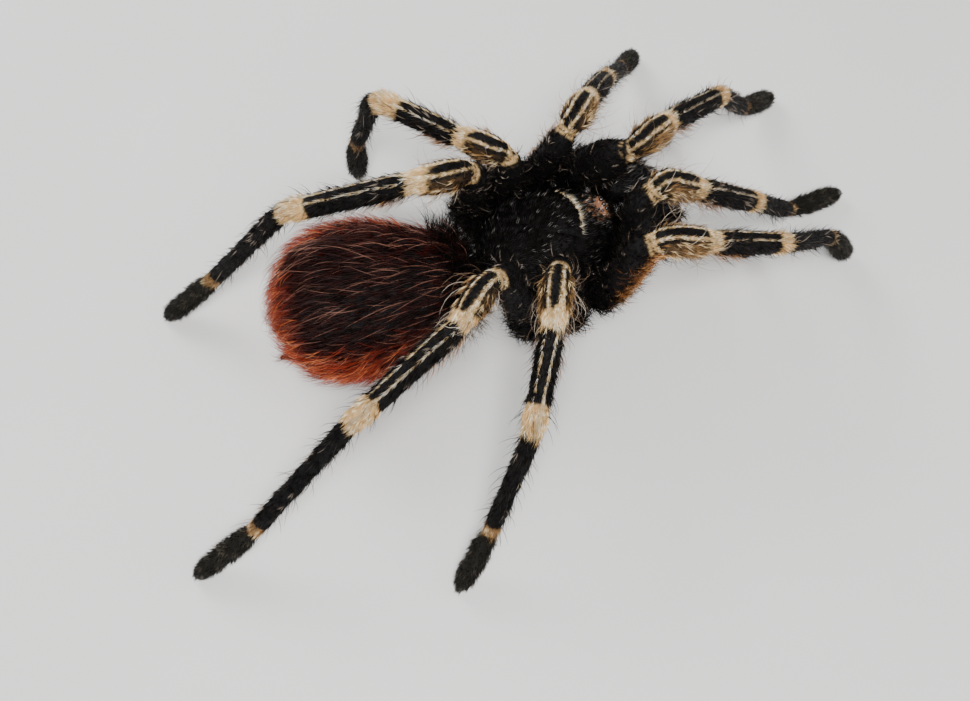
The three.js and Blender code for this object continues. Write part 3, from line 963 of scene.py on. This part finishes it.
def tufts(name, style, length, seed, **changes):
    """A collection of a few different tufts, each of several hairs from one root place.

    Their style is one of those above, with some of its values changed.
    """
    hair = replace(style, **changes)
    dice = np.random.default_rng(seed)
    shelf = bpy.data.collections.new(name)
    for number in range(TUFT_KINDS):
        corners = []
        faces = []
        patch = []
        tipward = []
        for strand in range(hair.hairs):
            root = dice.normal(0, 1, 2) * hair.spread * MM * (hair.hairs > 1)
            rows, sides, shares = strand_rows(
                length * MM * dice.uniform(*LENGTHS), hair.thickness * MM,
                hair.lift + dice.normal(0, 1) * hair.lift_spread,
                hair.droop + dice.normal(0, 1) * hair.lift_spread,
                hair.bends, dice.normal(0, 1) * hair.curl, root, math.radians(dice.normal(0, 1) * hair.fan),
            )
            add_body(corners, faces, rows, sides)
            tipward += shares
            patch += [(share - 0.5, (strand + 0.5) / hair.hairs - 0.5, 0) for share in shares]
        tuft = fix_normals(mesh_object(f"{name}_{number}", corners, faces))
        put_attribute(tuft.data, "tipward", "FLOAT", "POINT", tipward)
        put_attribute(tuft.data, "patch", "FLOAT_VECTOR", "POINT", patch)
        bpy.context.scene.collection.objects.unlink(tuft)
        shelf.objects.link(tuft)
    return shelf


COAT_INPUTS = {
    "Tufts": "NodeSocketCollection", "Density": "NodeSocketFloat", "Smallest": "NodeSocketFloat",
    "Largest": "NodeSocketFloat", "Turn": "NodeSocketFloat", "Tilt": "NodeSocketFloat",
    "Patch": "NodeSocketFloat", "Lowest": "NodeSocketVector", "Highest": "NodeSocketVector",
    "Seed": "NodeSocketInt", "Soft": "NodeSocketFloat", "Material": "NodeSocketMaterial",
}


def coat_tree():
    """Grows tufts on a surface: as many as its cover asks for, along its lie, as long as its growth."""
    tree = bpy.data.node_groups.new("grow_coat", "GeometryNodeTree")
    tree.interface.new_socket("Geometry", in_out="INPUT", socket_type="NodeSocketGeometry")
    for name, kind in COAT_INPUTS.items():
        tree.interface.new_socket(name, in_out="INPUT", socket_type=kind)
    tree.interface.new_socket("Geometry", in_out="OUTPUT", socket_type="NodeSocketGeometry")
    graph = Graph(tree)
    add = graph.add
    given = add("NodeGroupInput")

    def named(name, kind="FLOAT"):
        return add("GeometryNodeInputNamedAttribute", {"Name": name}, data_type=kind)["Attribute"]

    def maths(operation, first, second, kind="ShaderNodeMath"):
        return add(kind, {0: first, 1: second}, operation=operation)[0]

    def dice(low, high, offset):
        seed = maths("ADD", given["Seed"], offset)
        return add("FunctionNodeRandomValue", {2: low, 3: high, "Seed": seed}, data_type="FLOAT")[1]

    # root places, as many as density and cover ask for
    density = maths("MULTIPLY", given["Density"], named("cover"))
    scatter = add(
        "GeometryNodeDistributePointsOnFaces",
        {"Mesh": given["Geometry"], "Density": density, "Seed": given["Seed"]}, distribute_method="RANDOM",
    )

    # those that lie outside the marking are taken out, along a ragged edge
    ragged = maths("MULTIPLY", given["Soft"], dice(-1.0, 1.0, 6))
    inside = maths("SUBTRACT", named("edge"), maths("ABSOLUTE", named("way"), 0.0))
    outside = add("FunctionNodeCompare", {"A": inside, "B": ragged}, operation="LESS_THAN")["Result"]
    roots = {"Geometry": scatter["Points"], "Selection": outside}
    roots = add("GeometryNodeDeleteGeometry", roots, domain="POINT")["Geometry"]

    # each tuft stands on the surface, follows its lie and sways a little
    axes = {"Primary Axis": scatter["Normal"], "Secondary Axis": named("lie", "FLOAT_VECTOR")}
    upright = add("FunctionNodeAxesToRotation", axes, primary_axis="Z", secondary_axis="X")["Rotation"]
    sway = {}
    for axis, name, offset in (("X", "Tilt", 1), ("Y", "Tilt", 2), ("Z", "Turn", 3)):
        sway[axis] = maths("MULTIPLY", maths("RADIANS", given[name], 0.0), dice(-1.0, 1.0, offset))
    sway = add("ShaderNodeCombineXYZ", sway)["Vector"]
    sway = add("FunctionNodeEulerToRotation", {"Euler": sway})["Rotation"]
    swayed = {"Rotation": upright, "Rotate By": sway}
    swayed = add("FunctionNodeRotateRotation", swayed, rotation_space="LOCAL")["Rotation"]

    # the tufts are planted
    shelf = {"Separate Children": True, "Reset Children": True, "Collection": given["Tufts"]}
    plant = add("GeometryNodeInstanceOnPoints", {
        "Points": roots,
        "Instance": add("GeometryNodeCollectionInfo", shelf)["Instances"],
        "Pick Instance": True,
        "Rotation": swayed,
        "Scale": maths("MULTIPLY", dice(given["Smallest"], given["Largest"], 4), named("grow")),
    })["Instances"]
    tint = {"Geometry": plant, "Name": "tint", "Value": dice(0.0, 1.0, 5)}
    tinted = add("GeometryNodeStoreNamedAttribute", tint, data_type="FLOAT", domain="INSTANCE")["Geometry"]
    real = add("GeometryNodeRealizeInstances", {"Geometry": tinted})["Geometry"]

    # each tuft gets a patch of the flat map, at its root's place
    spot = {0: named("patch", "FLOAT_VECTOR"), "Scale": given["Patch"]}
    spot = add("ShaderNodeVectorMath", spot, operation="SCALE")[0]
    spot = maths("ADD", named("root_at", "FLOAT_VECTOR"), spot, "ShaderNodeVectorMath")
    spot = {"Geometry": real, "Name": "OFBake", "Value": spot}
    mapped = add("GeometryNodeStoreNamedAttribute", spot, data_type="FLOAT2", domain="CORNER")["Geometry"]

    # hairs bend along the floor, and none stands higher than the limit
    where = add("GeometryNodeInputPosition")["Position"]
    where = maths("MAXIMUM", where, given["Lowest"], "ShaderNodeVectorMath")
    where = maths("MINIMUM", where, given["Highest"], "ShaderNodeVectorMath")
    bent = add("GeometryNodeSetPosition", {"Geometry": mapped, "Position": where})["Geometry"]
    painted = add("GeometryNodeSetMaterial", {"Geometry": bent, "Material": given["Material"]})["Geometry"]
    add("NodeGroupOutput", {"Geometry": painted})
    return tree


GROWER = coat_tree()
HEADROOM = 0.7 * MM            # hairs end at most this far above the highest solid


def grow_coat(name, ground, slot, finish, tuft, cover, grow=1.0, edge=1.0, way=0.0, **inputs):
    """One piece of coat as a plain mesh, in one of the finishes.

    Cover says where it grows, grow how long, edge how far inside a marking a root is or a line's half
    width, and way how far a root is from that line's middle. Density counts tufts per square mm.
    """
    bed = add_object(f"{name}_bed", ground.data.copy())
    count = np.ones(len(bed.data.vertices))
    for key, values in (("cover", np.clip(cover, 0, 1)), ("grow", grow), ("edge", edge), ("way", way)):
        put_attribute(bed.data, key, "FLOAT", "POINT", values * count)
    modifier = bed.modifiers.new("coat", "NODES")
    modifier.node_group = GROWER
    sockets = {item.name: item.identifier for item in GROWER.interface.items_tree if item.in_out == "INPUT"}
    settings = {
        "Smallest": 0.75, "Largest": 1.15, "Turn": 14.0, "Tilt": 8.0, "Patch": PATCH, "Soft": 0.05 * MM,
        "Lowest": (-1.0, -1.0, HAIR_FLOOR), "Highest": (1.0, 1.0, cad_box[1].z + HEADROOM),
        "Tufts": tuft, "Material": FINISHES[finish], **inputs,
    }
    settings["Density"] = settings["Density"] / MM**2
    for key, value in settings.items():
        modifier[sockets[key]] = value
    coat = baked_copy(bed, name)
    drop_attributes(coat.data, "lie", "root_at", "cover", "grow", "edge", "way", "skin_colour", "patch")
    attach(coat, "root")


# ---------------- hard pieces of the head

MAP_SIZE = 48 * MM             # the flat map of a plate spans this much
SHELL_DEPTH = 0.42 * MM        # how far the carapace lies inside its solid
PLATE_DEPTH = 0.25 * MM        # and the sternum inside its own
FURROWS = [(33, 0.26, 8.6), (72, 0.15, 6.6), (108, 0.14, 6.4), (146, 0.13, 6.2)]   # degrees, depth, reach
FURROW_WIDTH = 0.42            # in mm, as all the sizes of the furrows, the pit and the eyes
FURROW_START = (0.9, 2.4)
FURROW_END = 2
PIT_AHEAD = -2.0
PIT = SimpleNamespace(depth=0.55, reach=1.5, bow=0.12, width=0.42)
BACK_LEVEL = (0.5, 1.2)        # the furrows begin above the shell's edge, from none to full depth
MOUND = SimpleNamespace(half_width=1.62, half_length=1.08, height=1.12, sunk=0.05, taper=0.8)
MOUND_RINGS = 12
MOUND_SIDES = 28
MOUND_CLIMB = 0.5 * math.pi * 0.97
EYES = [   # radius, to the side, ahead of the mound's middle, above its foot
    (0.38, 0.46, 0.5, 1.02), (0.32, 1.08, 0.62, 0.62), (0.27, 1.2, -0.16, 0.66), (0.23, 0.78, -0.5, 0.86),
]
EYE_CLIMB = 1.35               # an eye's rings reach up and down to this angle, in radians
EYE_RINGS = 9
FANG = SimpleNamespace(width=0.92, tip=(0.8, 1.08), tip_cut=0.75, flat=0.9)   # shares of the solid's sizes
CLAW = SimpleNamespace(length=1.15, thickness=0.26, lift=34, droop=-62, bends=4, apart=0.26, splay=0.16)
CLAW_INSET = 0.35 * MM
CLAW_SLOPE = 0.2               # how much of the foot's own slope a claw keeps


def carve_carapace(shell, trunk):
    """Cuts the middle pit, and the furrows that spread from it, into the back of the shell."""
    places = places_of(shell.data)
    local = in_frame(places, trunk) / MM
    side = local[:, 0]
    ahead = local[:, 1] - PIT_AHEAD
    reach = np.hypot(side, ahead)
    bearing = np.abs(np.arctan2(side, ahead))
    bowed = ahead + PIT.bow * side**2
    cut = PIT.depth * np.exp(-((side / PIT.reach) ** 2) - (bowed / PIT.width) ** 2)
    for angle, depth, length in FURROWS:
        across = np.abs(bearing - math.radians(angle)) * reach
        along = fade(reach, *FURROW_START) * (1 - fade(reach, length - FURROW_END, length))
        cut += depth * np.exp(-((across / FURROW_WIDTH) ** 2)) * along
    upper = fade(local[:, 2], *BACK_LEVEL)
    set_places(shell.data, places - trunk.up * (cut * upper * MM)[:, None])


def unwrap_shell(shell, axes):
    """A flat map of a plate: its upper face on the left half and its lower face on the right."""
    local = in_frame(places_of(shell.data), axes)
    rows = np.stack([local[:, 0] / MAP_SIZE + 0.25, local[:, 1] / MAP_SIZE + 0.5], 1)
    rows[:, 0] += np.where(normals_of(shell.data) @ axes.up < -0.5, 0.5, 0)
    put_unwrap(shell.data, rows, np.zeros(len(rows)))


def build_carapace(trunk):
    """The domed shell over the head and chest."""
    shell = smooth_shell("carapace_shell", "carapace", SHELL_DEPTH, 3)
    carve_carapace(shell, trunk)
    unwrap_shell(shell, trunk)
    return shell


def build_eyes(trunk):
    """The mound in front of the carapace's top, and the eight eyes on it."""
    places, _, _ = shell_of("eye_tubercle")
    local = in_frame(places, trunk)
    middle = (local.min(0) + local.max(0)) / 2
    foot = local[:, 2].min()

    def world(side, ahead, up):
        return trunk.middle + trunk.side * side + trunk.ahead * (middle[1] + ahead) + trunk.up * (foot + up)

    angles = np.arange(MOUND_SIDES) * 2 * math.pi / MOUND_SIDES
    rings = []
    for climb in np.linspace(0, MOUND_CLIMB, MOUND_RINGS):
        wide = math.cos(climb) ** MOUND.taper * MM
        sides = np.sin(angles) * MOUND.half_width * wide
        lengths = np.cos(angles) * MOUND.half_length * wide
        rise = (math.sin(climb) * MOUND.height - MOUND.sunk) * MM
        rings.append([world(side, ahead, rise) for side, ahead in zip(sides, lengths)])
    mound = fix_normals(mesh_object("eye_mound", *ring_faces(np.array(rings))))
    corners = []
    faces = []
    for radius, side, ahead, lift in EYES:
        for hand in (-1, 1):
            seat = world(hand * side * MM, ahead * MM, lift * MM)
            ball = []
            for climb in np.linspace(-EYE_CLIMB, EYE_CLIMB, EYE_RINGS):
                centre = seat + trunk.up * radius * MM * math.sin(climb)
                around = radius * MM * math.cos(climb)
                ball.append([
                    centre + (trunk.side * math.sin(angle) + trunk.ahead * math.cos(angle)) * around
                    for angle in angles[::2]
                ])
            add_body(corners, faces, *ring_faces(np.array(ball)))
    return mound, fix_normals(mesh_object("eyes", corners, faces))


def build_fang(hand):
    """A curved, polished fang, tapering to a point."""
    node = f"fang_{hand}"
    tube = plain_tube(node, "spinneret", node_middle(f"chelicera_{hand}"))
    share = tube.run / tube.run[-1]
    tube.radius = tube.coat * FANG.width * (1 - fade(share, *FANG.tip) * FANG.tip_cut)
    return fix_normals(mesh_object(f"{node}_horn", *tube_mesh(tube, FANG.flat, 1.0)))


def build_claws(tubes):
    """Two small hooked claws at the tip of each foot."""
    corners = []
    faces = []
    for tube in tubes[:len(LIMBS)]:
        ahead = unit(tube.ahead[-1] * np.array([1, 1, CLAW_SLOPE]))
        across = unit(np.cross(UP, ahead))
        upward = np.cross(ahead, across)
        foot = tube.line[-1] - ahead * CLAW_INSET
        for hand in (-1, 1):
            rows, sides, _ = strand_rows(
                CLAW.length * MM, CLAW.thickness * MM, CLAW.lift, CLAW.droop, CLAW.bends, 0,
                (0, hand * CLAW.apart * MM), hand * CLAW.splay,
            )
            rows = [foot + ahead * row[0] + across * row[1] + upward * row[2] for row in rows]
            add_body(corners, faces, rows, sides)
    for corner in corners:
        corner[2] = max(corner[2], HAIR_FLOOR)
    return fix_normals(mesh_object("claws", corners, faces))


# ---------------- the coat, part by part

def grow_pile(skin, data):
    """The black pile of the limbs, jaws and chest, longest where the limbs leave the body."""
    cream = creams(data).any
    rear = np.isin(data.owner, HIND_LEGS)
    black = on(data, "coxa", "femur", "tibia", "metatarsus")
    pile = tufts("pile", SHORT, 1.15, 11)
    for name, limbs, seed in (("front_limb_pile", ~rear, 21), ("rear_limb_pile", rear, 22)):
        grow_coat(
            name, skin, "black_coat", "black", pile, black * limbs, edge=-cream - 0.2 * MM,
            Density=3.55, Seed=seed,
        )
    grow_coat(
        "limb_streaks", skin, "black_coat", "smoke", tufts("lying", LYING, 1.9, 12), black,
        edge=-cream - 0.3 * MM, Density=0.62, Turn=8.0, Seed=23,
    )
    grow_coat(
        "knee_pile", skin, "knee_coat", "black", pile, on(data, "patella") * (1 - 0.6 * flanks(data)),
        edge=-cream, Density=4.2, Largest=0.9, Seed=24,
    )
    root = on(data, "coxa") + on(data, "femur") * (1 - fade(data.near, 4 * MM, 8 * MM))
    root += on(data, "pedicel", "core") + on(data, "chelicera") * fade(np.abs(data.turn), 0.6, 1.1)
    shag = tufts("shag", LYING, 3.0, 13, hairs=4, lift=48, droop=-4, fan=26)
    grow_coat(
        "limb_root_shag", skin, "black_coat", "black", shag, root * fade(data.normals[:, 2], -0.8, 0.0),
        Density=1.7, Turn=60.0, Seed=25,
    )
    waist = on(data, "abdomen") * (1 - fade(data.share, 0.08, 0.2))
    ruff = tufts("ruff", LONG, 4.6, 14, hairs=3, spread=0.25, lift=82, droop=40, bends=2, fan=60, curl=20)
    grow_coat(
        "waist_ruff", skin, "abdomen_coat", "black", ruff, waist * fade(data.normals[:, 2], -0.6, 0.1),
        Density=3.8, Turn=60.0, Tilt=22.0, Seed=27,
    )
    grow_coat(
        "chest_pile", skin, "underside_coat", "black", pile, on(data, "core", "chelicera", "pedicel"),
        Density=3.4, Largest=0.95, Seed=26,
    )


def grow_markings(skin, data):
    """The cream stripes and rims of the knees, the lines and bands below them, and golden flanks."""
    edges = creams(data)
    knee = on(data, "patella")
    shin = on(data, "tibia")
    flare = 0.72 + 0.75 * fade(data.far, 3.2 * MM, 0.8 * MM) * knee
    stripe = tufts("stripe", LYING, 1.2, 31, hairs=4, spread=0.08, lift=27, fan=9, thickness=0.1)
    grow_coat(
        "knee_stripes", skin, "knee_coat", "cream", stripe, knee, flare, edges.stripe, edges.stripe_way,
        Density=15.0, Turn=9.0, Seed=32,
    )
    grow_coat(
        "knee_rims", skin, "knee_coat", "straw", stripe, on(data, "patella", "femur"), flare, edges.rim,
        Density=9.0, Turn=9.0, Seed=30,
    )
    fine = tufts("fine", FINE, 1.4, 33, spread=0.02, fan=3, thickness=0.08, lift=26, droop=6)
    grow_coat(
        "limb_lines", skin, "banded_coat", "cream", fine, shin, 1.0, edges.line, edges.line_way,
        Density=62.0, Turn=4.0, Tilt=3.0, Soft=0.03 * MM, Seed=34,
    )
    band = tufts("band", LYING, 1.8, 35, hairs=4, spread=0.14, lift=34, fan=14)
    grow_coat(
        "limb_bands", skin, "banded_coat", "straw", band, shin, 1.0, edges.band,
        Density=5.5, Soft=0.7 * MM, Seed=36,
    )
    grow_coat(
        "foot_bands", skin, "banded_coat", "gold", band, on(data, "metatarsus"), 0.75, edges.foot_band,
        Density=6.0, Soft=0.4 * MM, Seed=37,
    )
    grow_coat(
        "knee_flanks", skin, "knee_coat", "gold", tufts("flank", LYING, 1.7, 38, lift=40, fan=16),
        flanks(data), 1.0, -edges.any, Density=3.4, Turn=20.0, Seed=39,
    )


def grow_brushes(skin, data):
    """The dense brushes of the feet, paler at their tips."""
    foot = on(data, "tarsus")
    brush = tufts("brush", LYING, 1.2, 41, hairs=4, lift=42, droop=20, fan=18)
    grow_coat(
        "foot_brushes", skin, "foot_coat", "foot", brush, foot, 1 - 0.4 * fade(data.share, 0.75, 1.0),
        Density=3.4, Seed=42,
    )
    grow_coat(
        "foot_tips", skin, "foot_coat", "ash", brush, foot * fade(data.far, 2.0 * MM, 0.8 * MM), 0.55,
        Density=5.0, Seed=43,
    )


def grow_long_hairs(skin, data):
    """The long single hairs of the limbs, palest round the knees, and the amber fringe below them."""
    turn = np.abs(data.turn)
    aside = fade(turn, 0.7, 1.3)
    room = np.clip((cad_box[1].z - data.places[:, 2]) / (4 * MM), 0.3, 1)
    knees = on(data, "patella") * aside * (data.owner < LEGS)
    knee_hair = tufts("knee_hair", LONG, 7.4, 51, thickness=0.07, lift=50, droop=-42, curl=42)
    grow_coat(
        "knee_hairs", skin, "knee_coat", "pale", knee_hair, knees, room,
        Density=1.5, Smallest=0.35, Turn=60.0, Tilt=20.0, Seed=52,
    )
    shafts = on(data, "femur", "tibia", "metatarsus") * (0.3 + 0.7 * aside)
    limb_hair = tufts("limb_hair", LONG, 3.4, 53, bends=3, lift=54, droop=8)
    grow_coat(
        "limb_hairs", skin, "banded_coat", "smoke", limb_hair, shafts, room,
        Density=0.75, Smallest=0.5, Turn=30.0, Tilt=18.0, Seed=54,
    )
    hindward = -forward_turn(data)
    thigh = on(data, "femur") * np.isin(data.owner, SECOND_LEGS)
    thigh *= fade(hindward, 1.2, 1.9) * (1 - fade(hindward, 2.5, 3.0))
    shin = on(data, "tibia") * fade(turn, 1.9, 2.4) * (1 - fade(data.near, 3 * MM, 7 * MM))
    fringe = tufts(
        "under_fringe", LONG, 3.6, 55, hairs=3, spread=0.3, fan=9, thickness=0.08, lift=40, droop=-6,
        bends=2, curl=18,
    )
    grow_coat(
        "under_fringe", skin, "underside_coat", "amber", fringe, thigh + shin,
        Density=3.8, Smallest=0.5, Turn=16.0, Seed=56,
    )


def grow_jaws(skin, data):
    """Ash-grey hairs along the jaws, and the amber fringe over the mouth."""
    jaw = on(data, "chelicera")
    grow_coat(
        "jaw_hairs", skin, "black_coat", "ash", tufts("jaw_hair", LYING, 1.6, 61, lift=24), jaw,
        Density=1.6, Seed=62,
    )
    low = fade(np.abs(data.turn), 1.5, 2.3) * fade(data.share, 0.35, 0.7)
    fringe = tufts("jaw_fringe", LONG, 2.6, 63, hairs=2, spread=0.1, lift=30, bends=3)
    grow_coat("jaw_fringe", skin, "underside_coat", "amber", fringe, jaw * low, Density=3.0, Seed=64)


def grow_abdomen(skin, data):
    """Dark pile, long rust-brown hairs lying to the rear, and the dense red fringe."""
    red = red_marks(data)
    back = on(data, "abdomen") * (1 - 0.5 * red)
    tail = on(data, "spinneret")
    grow_coat(
        "abdomen_pile", skin, "abdomen_coat", "dusk", tufts("belly_pile", SHORT, 1.5, 71, lift=34), back,
        Density=3.95, Seed=72,
    )
    hair = tufts(
        "belly_hair", LONG, 8.2, 73, fan=9, thickness=0.075, lift=30, droop=-24, curl=16, lift_spread=6,
    )
    grow_coat(
        "abdomen_hairs", skin, "abdomen_coat", "rust", hair, back,
        Density=2.0, Smallest=0.5, Largest=1.1, Turn=11.0, Tilt=6.0, Seed=74,
    )
    where = red * fade(data.share, 0.1, 0.3) * (1 - 0.4 * fade(data.share, 0.6, 0.5)) + tail
    fringe = tufts("belly_fringe", LONG, 4.8, 75, hairs=3, spread=0.25, lift=46, droop=-2, curl=22, bends=3)
    grow_coat(
        "abdomen_fringe", skin, "abdomen_coat", "red", fringe, where, 1 - 0.45 * tail,
        Density=2.0, Smallest=0.55, Largest=1.05, Turn=26.0, Tilt=12.0, Seed=76,
    )


# The pale crescent in front of the middle pit, in mm: its middle, its bow, its size, and how often and
# how much its width wavers.
CRESCENT = SimpleNamespace(ahead=5.3, side=0.6, bow=0.06, bow_side=0.9, half_width=0.2, half_length=4.8)
WAVER = ((4.1, 0, 0.3), (9.7, 1, 0.25))
WAVER_BASE = 0.8
CRESCENT_GAP = 0.35 * MM       # bare ground between the crescent and the velvet


def lay_ahead(shell, trunk, centre, forward):
    """Gives a plate of the head its lie: outward from a centre, and drawn forward."""
    lie = unit(places_of(shell.data) - centre) + trunk.ahead * forward
    put_attribute(shell.data, "lie", "FLOAT_VECTOR", "POINT", level_with(lie, normals_of(shell.data)))


def grow_carapace(shell, mound, trunk):
    """Velvet, ash hairs, a shaggy rim and a pale crescent on the carapace, and the mound's short hair."""
    centre = places_of(mound.data).mean(0)
    places = places_of(shell.data)
    lay_ahead(shell, trunk, trunk.middle + trunk.ahead * PIT_AHEAD * MM, 0.9)
    lay_ahead(mound, trunk, centre, 0.6)
    side, ahead, _ = in_frame(places, trunk).T / MM
    facing = normals_of(shell.data) @ trunk.up
    upper = fade(facing, -0.3, 0.2)
    gap = np.linalg.norm(places - centre, axis=1)

    bow = CRESCENT.ahead - CRESCENT.bow * (side - CRESCENT.bow_side) ** 2
    ragged = WAVER_BASE
    for often, start, much in WAVER:
        ragged = ragged + much * np.sin(often * side + start)
    along = (side - CRESCENT.side) / CRESCENT.half_length
    half = CRESCENT.half_width * (1 - along ** 2) * ragged * MM
    reach = np.abs(ahead - bow) * MM
    grow_coat(
        "carapace_velvet", shell, "carapace_shell", "black", tufts("velvet", SHORT, 0.9, 81), upper,
        edge=reach - half - CRESCENT_GAP, Density=9.0, Turn=20.0, Seed=82,
    )
    grow_coat(
        "carapace_hairs", shell, "carapace_shell", "ash",
        tufts("shell_hair", LYING, 1.4, 83, hairs=2, thickness=0.065),
        upper * (1 - 0.7 * fade(gap, 3.0 * MM, 5.5 * MM)), Density=4.5, Seed=84,
    )
    grow_coat(
        "carapace_rim", shell, "carapace_shell", "black",
        tufts("rim_hair", LYING, 2.5, 85, lift=26, droop=-24, fan=18),
        bump_at(facing, 0.25, 0.55) * fade(ahead, 12, 8), Density=2.6, Turn=24.0, Seed=86,
    )
    crescent = tufts("crescent", FINE, 1.2, 87, spread=0.08, thickness=0.09, lift=34, droop=12)
    grow_coat(
        "carapace_crescent", shell, "carapace_shell", "white", crescent, upper, 1.0, half, reach,
        Density=56.0, Soft=0.12 * MM, Turn=40.0, Smallest=0.5, Seed=88,
    )
    short = tufts("mound_hair", FINE, 0.6, 89, lift=44, droop=30)
    brow = upper * (1 - fade(gap, 2.0 * MM, 3.4 * MM))
    grow_coat(
        "brow_hairs", shell, "carapace_shell", "coral", short, brow, 1.4, Density=7.0, Turn=40.0, Seed=90,
    )
    grow_coat("mound_hairs", mound, "eyes", "coral", short, 1.0, 0.8, Density=12.0, Turn=40.0, Seed=91)


# ---------------- assembly

def add_piece(piece, material, slot, *nodes):
    """Gives a piece its material, its body and the solids that it stands for; its slot is not used."""
    piece.data.materials.clear()
    piece.data.materials.append(material)
    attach(piece, "root")
    if nodes:
        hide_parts(*nodes)


tubes = read_tubes()
trunk = read_trunk()
abdomen = read_abdomen()
skin, forms = build_skin(tubes, abdomen)
data = survey(skin, tubes, forms, trunk, abdomen)
put_attribute(skin.data, "skin_colour", "FLOAT_COLOR", "POINT", skin_colours(data))
put_unwrap(skin.data, unwrap_rows(data, tubes), data.turn)
put_attribute(skin.data, "lie", "FLOAT_VECTOR", "POINT", data.lie)
add_piece(skin, skin_material(), "black_coat", *FLESH)

carapace = build_carapace(trunk)
mound, eyes = build_eyes(trunk)
unwrap_shell(mound, trunk)
horn = fang_material()
dark_shell = shell_material("carapace_shell", (0.0022, 0.0018, 0.0016), (0.0045, 0.0036, 0.0032), 0.65, 0.1)
pink_shell = shell_material("eye_mound", (0.36, 0.16, 0.08), (0.12, 0.045, 0.02), 0.5)
brown_shell = shell_material("sternum_plate", (0.010, 0.008, 0.007), (0.02, 0.014, 0.010))
add_piece(carapace, dark_shell, "carapace_shell", "carapace")
add_piece(mound, pink_shell, "eyes", "eye_tubercle")
add_piece(eyes, eye_material(), "eyes")
for hand in ("left", "right"):
    add_piece(build_fang(hand), horn, "fangs", f"fang_{hand}")
add_piece(build_claws(tubes), horn, "fangs")
add_piece(smooth_shell("sternum_plate", "sternum", PLATE_DEPTH, 3), brown_shell, "black_coat", "sternum")

for grow_part in (grow_pile, grow_markings, grow_brushes, grow_long_hairs, grow_jaws, grow_abdomen):
    grow_part(skin, data)
grow_carapace(carapace, mound, trunk)
for ground in (skin, carapace, mound):
    drop_attributes(ground.data, "lie", "root_at")


# ---------------- camera, floor and light

CAMERA_PLACE = (-79.8 * MM, 42.0 * MM, 169.5 * MM)
CAMERA_TARGET = (-4.35 * MM, 6.85 * MM, 0.0)
VIEW_WIDTH = 45                # degrees
SENSOR_WIDTH = 36
CLIP = (0.005, 20)             # the camera sees from here to there, in metres
FLOOR_HALF = 3.0
LIGHT_AIM = (0, 0, 0.01)
LIGHTS = {   # place and width of each soft box in metres, and its power in watts
    "key": ((-0.2, 0.09, 0.42), 0.16, 3.2),
    "fill": ((-0.15, -0.36, 0.3), 0.4, 0.7),
    "rim": ((0.32, 0.1, 0.22), 0.2, 1.2),
}
SKY_COLOUR = (0.95, 0.97, 1.0, 1)
SKY_STRENGTH = 0.34


def aimed_object(name, held, place, aim):
    """A camera or light at a place, turned to look at another."""
    piece = add_object(name, held)
    piece.location = place
    piece.rotation_euler = (Vector(aim) - Vector(place)).to_track_quat("-Z", "Y").to_euler()
    return piece


def add_camera():
    """The camera, with its view width set by the lens."""
    lens = bpy.data.cameras.new("camera")
    lens.sensor_width = SENSOR_WIDTH
    lens.lens = SENSOR_WIDTH / 2 / math.tan(math.radians(VIEW_WIDTH / 2))
    lens.clip_start, lens.clip_end = CLIP
    bpy.context.scene.camera = aimed_object("camera", lens, CAMERA_PLACE, CAMERA_TARGET)


def add_lights():
    """The soft boxes, and the even light of the room."""
    for name, (place, width, power) in LIGHTS.items():
        lamp = bpy.data.lights.new(name, "AREA")
        lamp.size = width
        lamp.energy = power
        aimed_object(name, lamp, place, LIGHT_AIM)
    world = bpy.data.worlds.new("studio")
    world.use_nodes = True
    shade = world.node_tree.nodes["Background"]
    shade.inputs["Color"].default_value = SKY_COLOUR
    shade.inputs["Strength"].default_value = SKY_STRENGTH
    bpy.context.scene.world = world


def add_floor():
    """The plain floor, far wider than the view."""
    corners = [(-FLOOR_HALF, -FLOOR_HALF, 0), (FLOOR_HALF, -FLOOR_HALF, 0)]
    corners += [(FLOOR_HALF, FLOOR_HALF, 0), (-FLOOR_HALF, FLOOR_HALF, 0)]
    floor = mesh_object("floor", corners, [(0, 1, 2, 3)])
    floor.data.materials.append(floor_material())


add_camera()
add_floor()
add_lights()
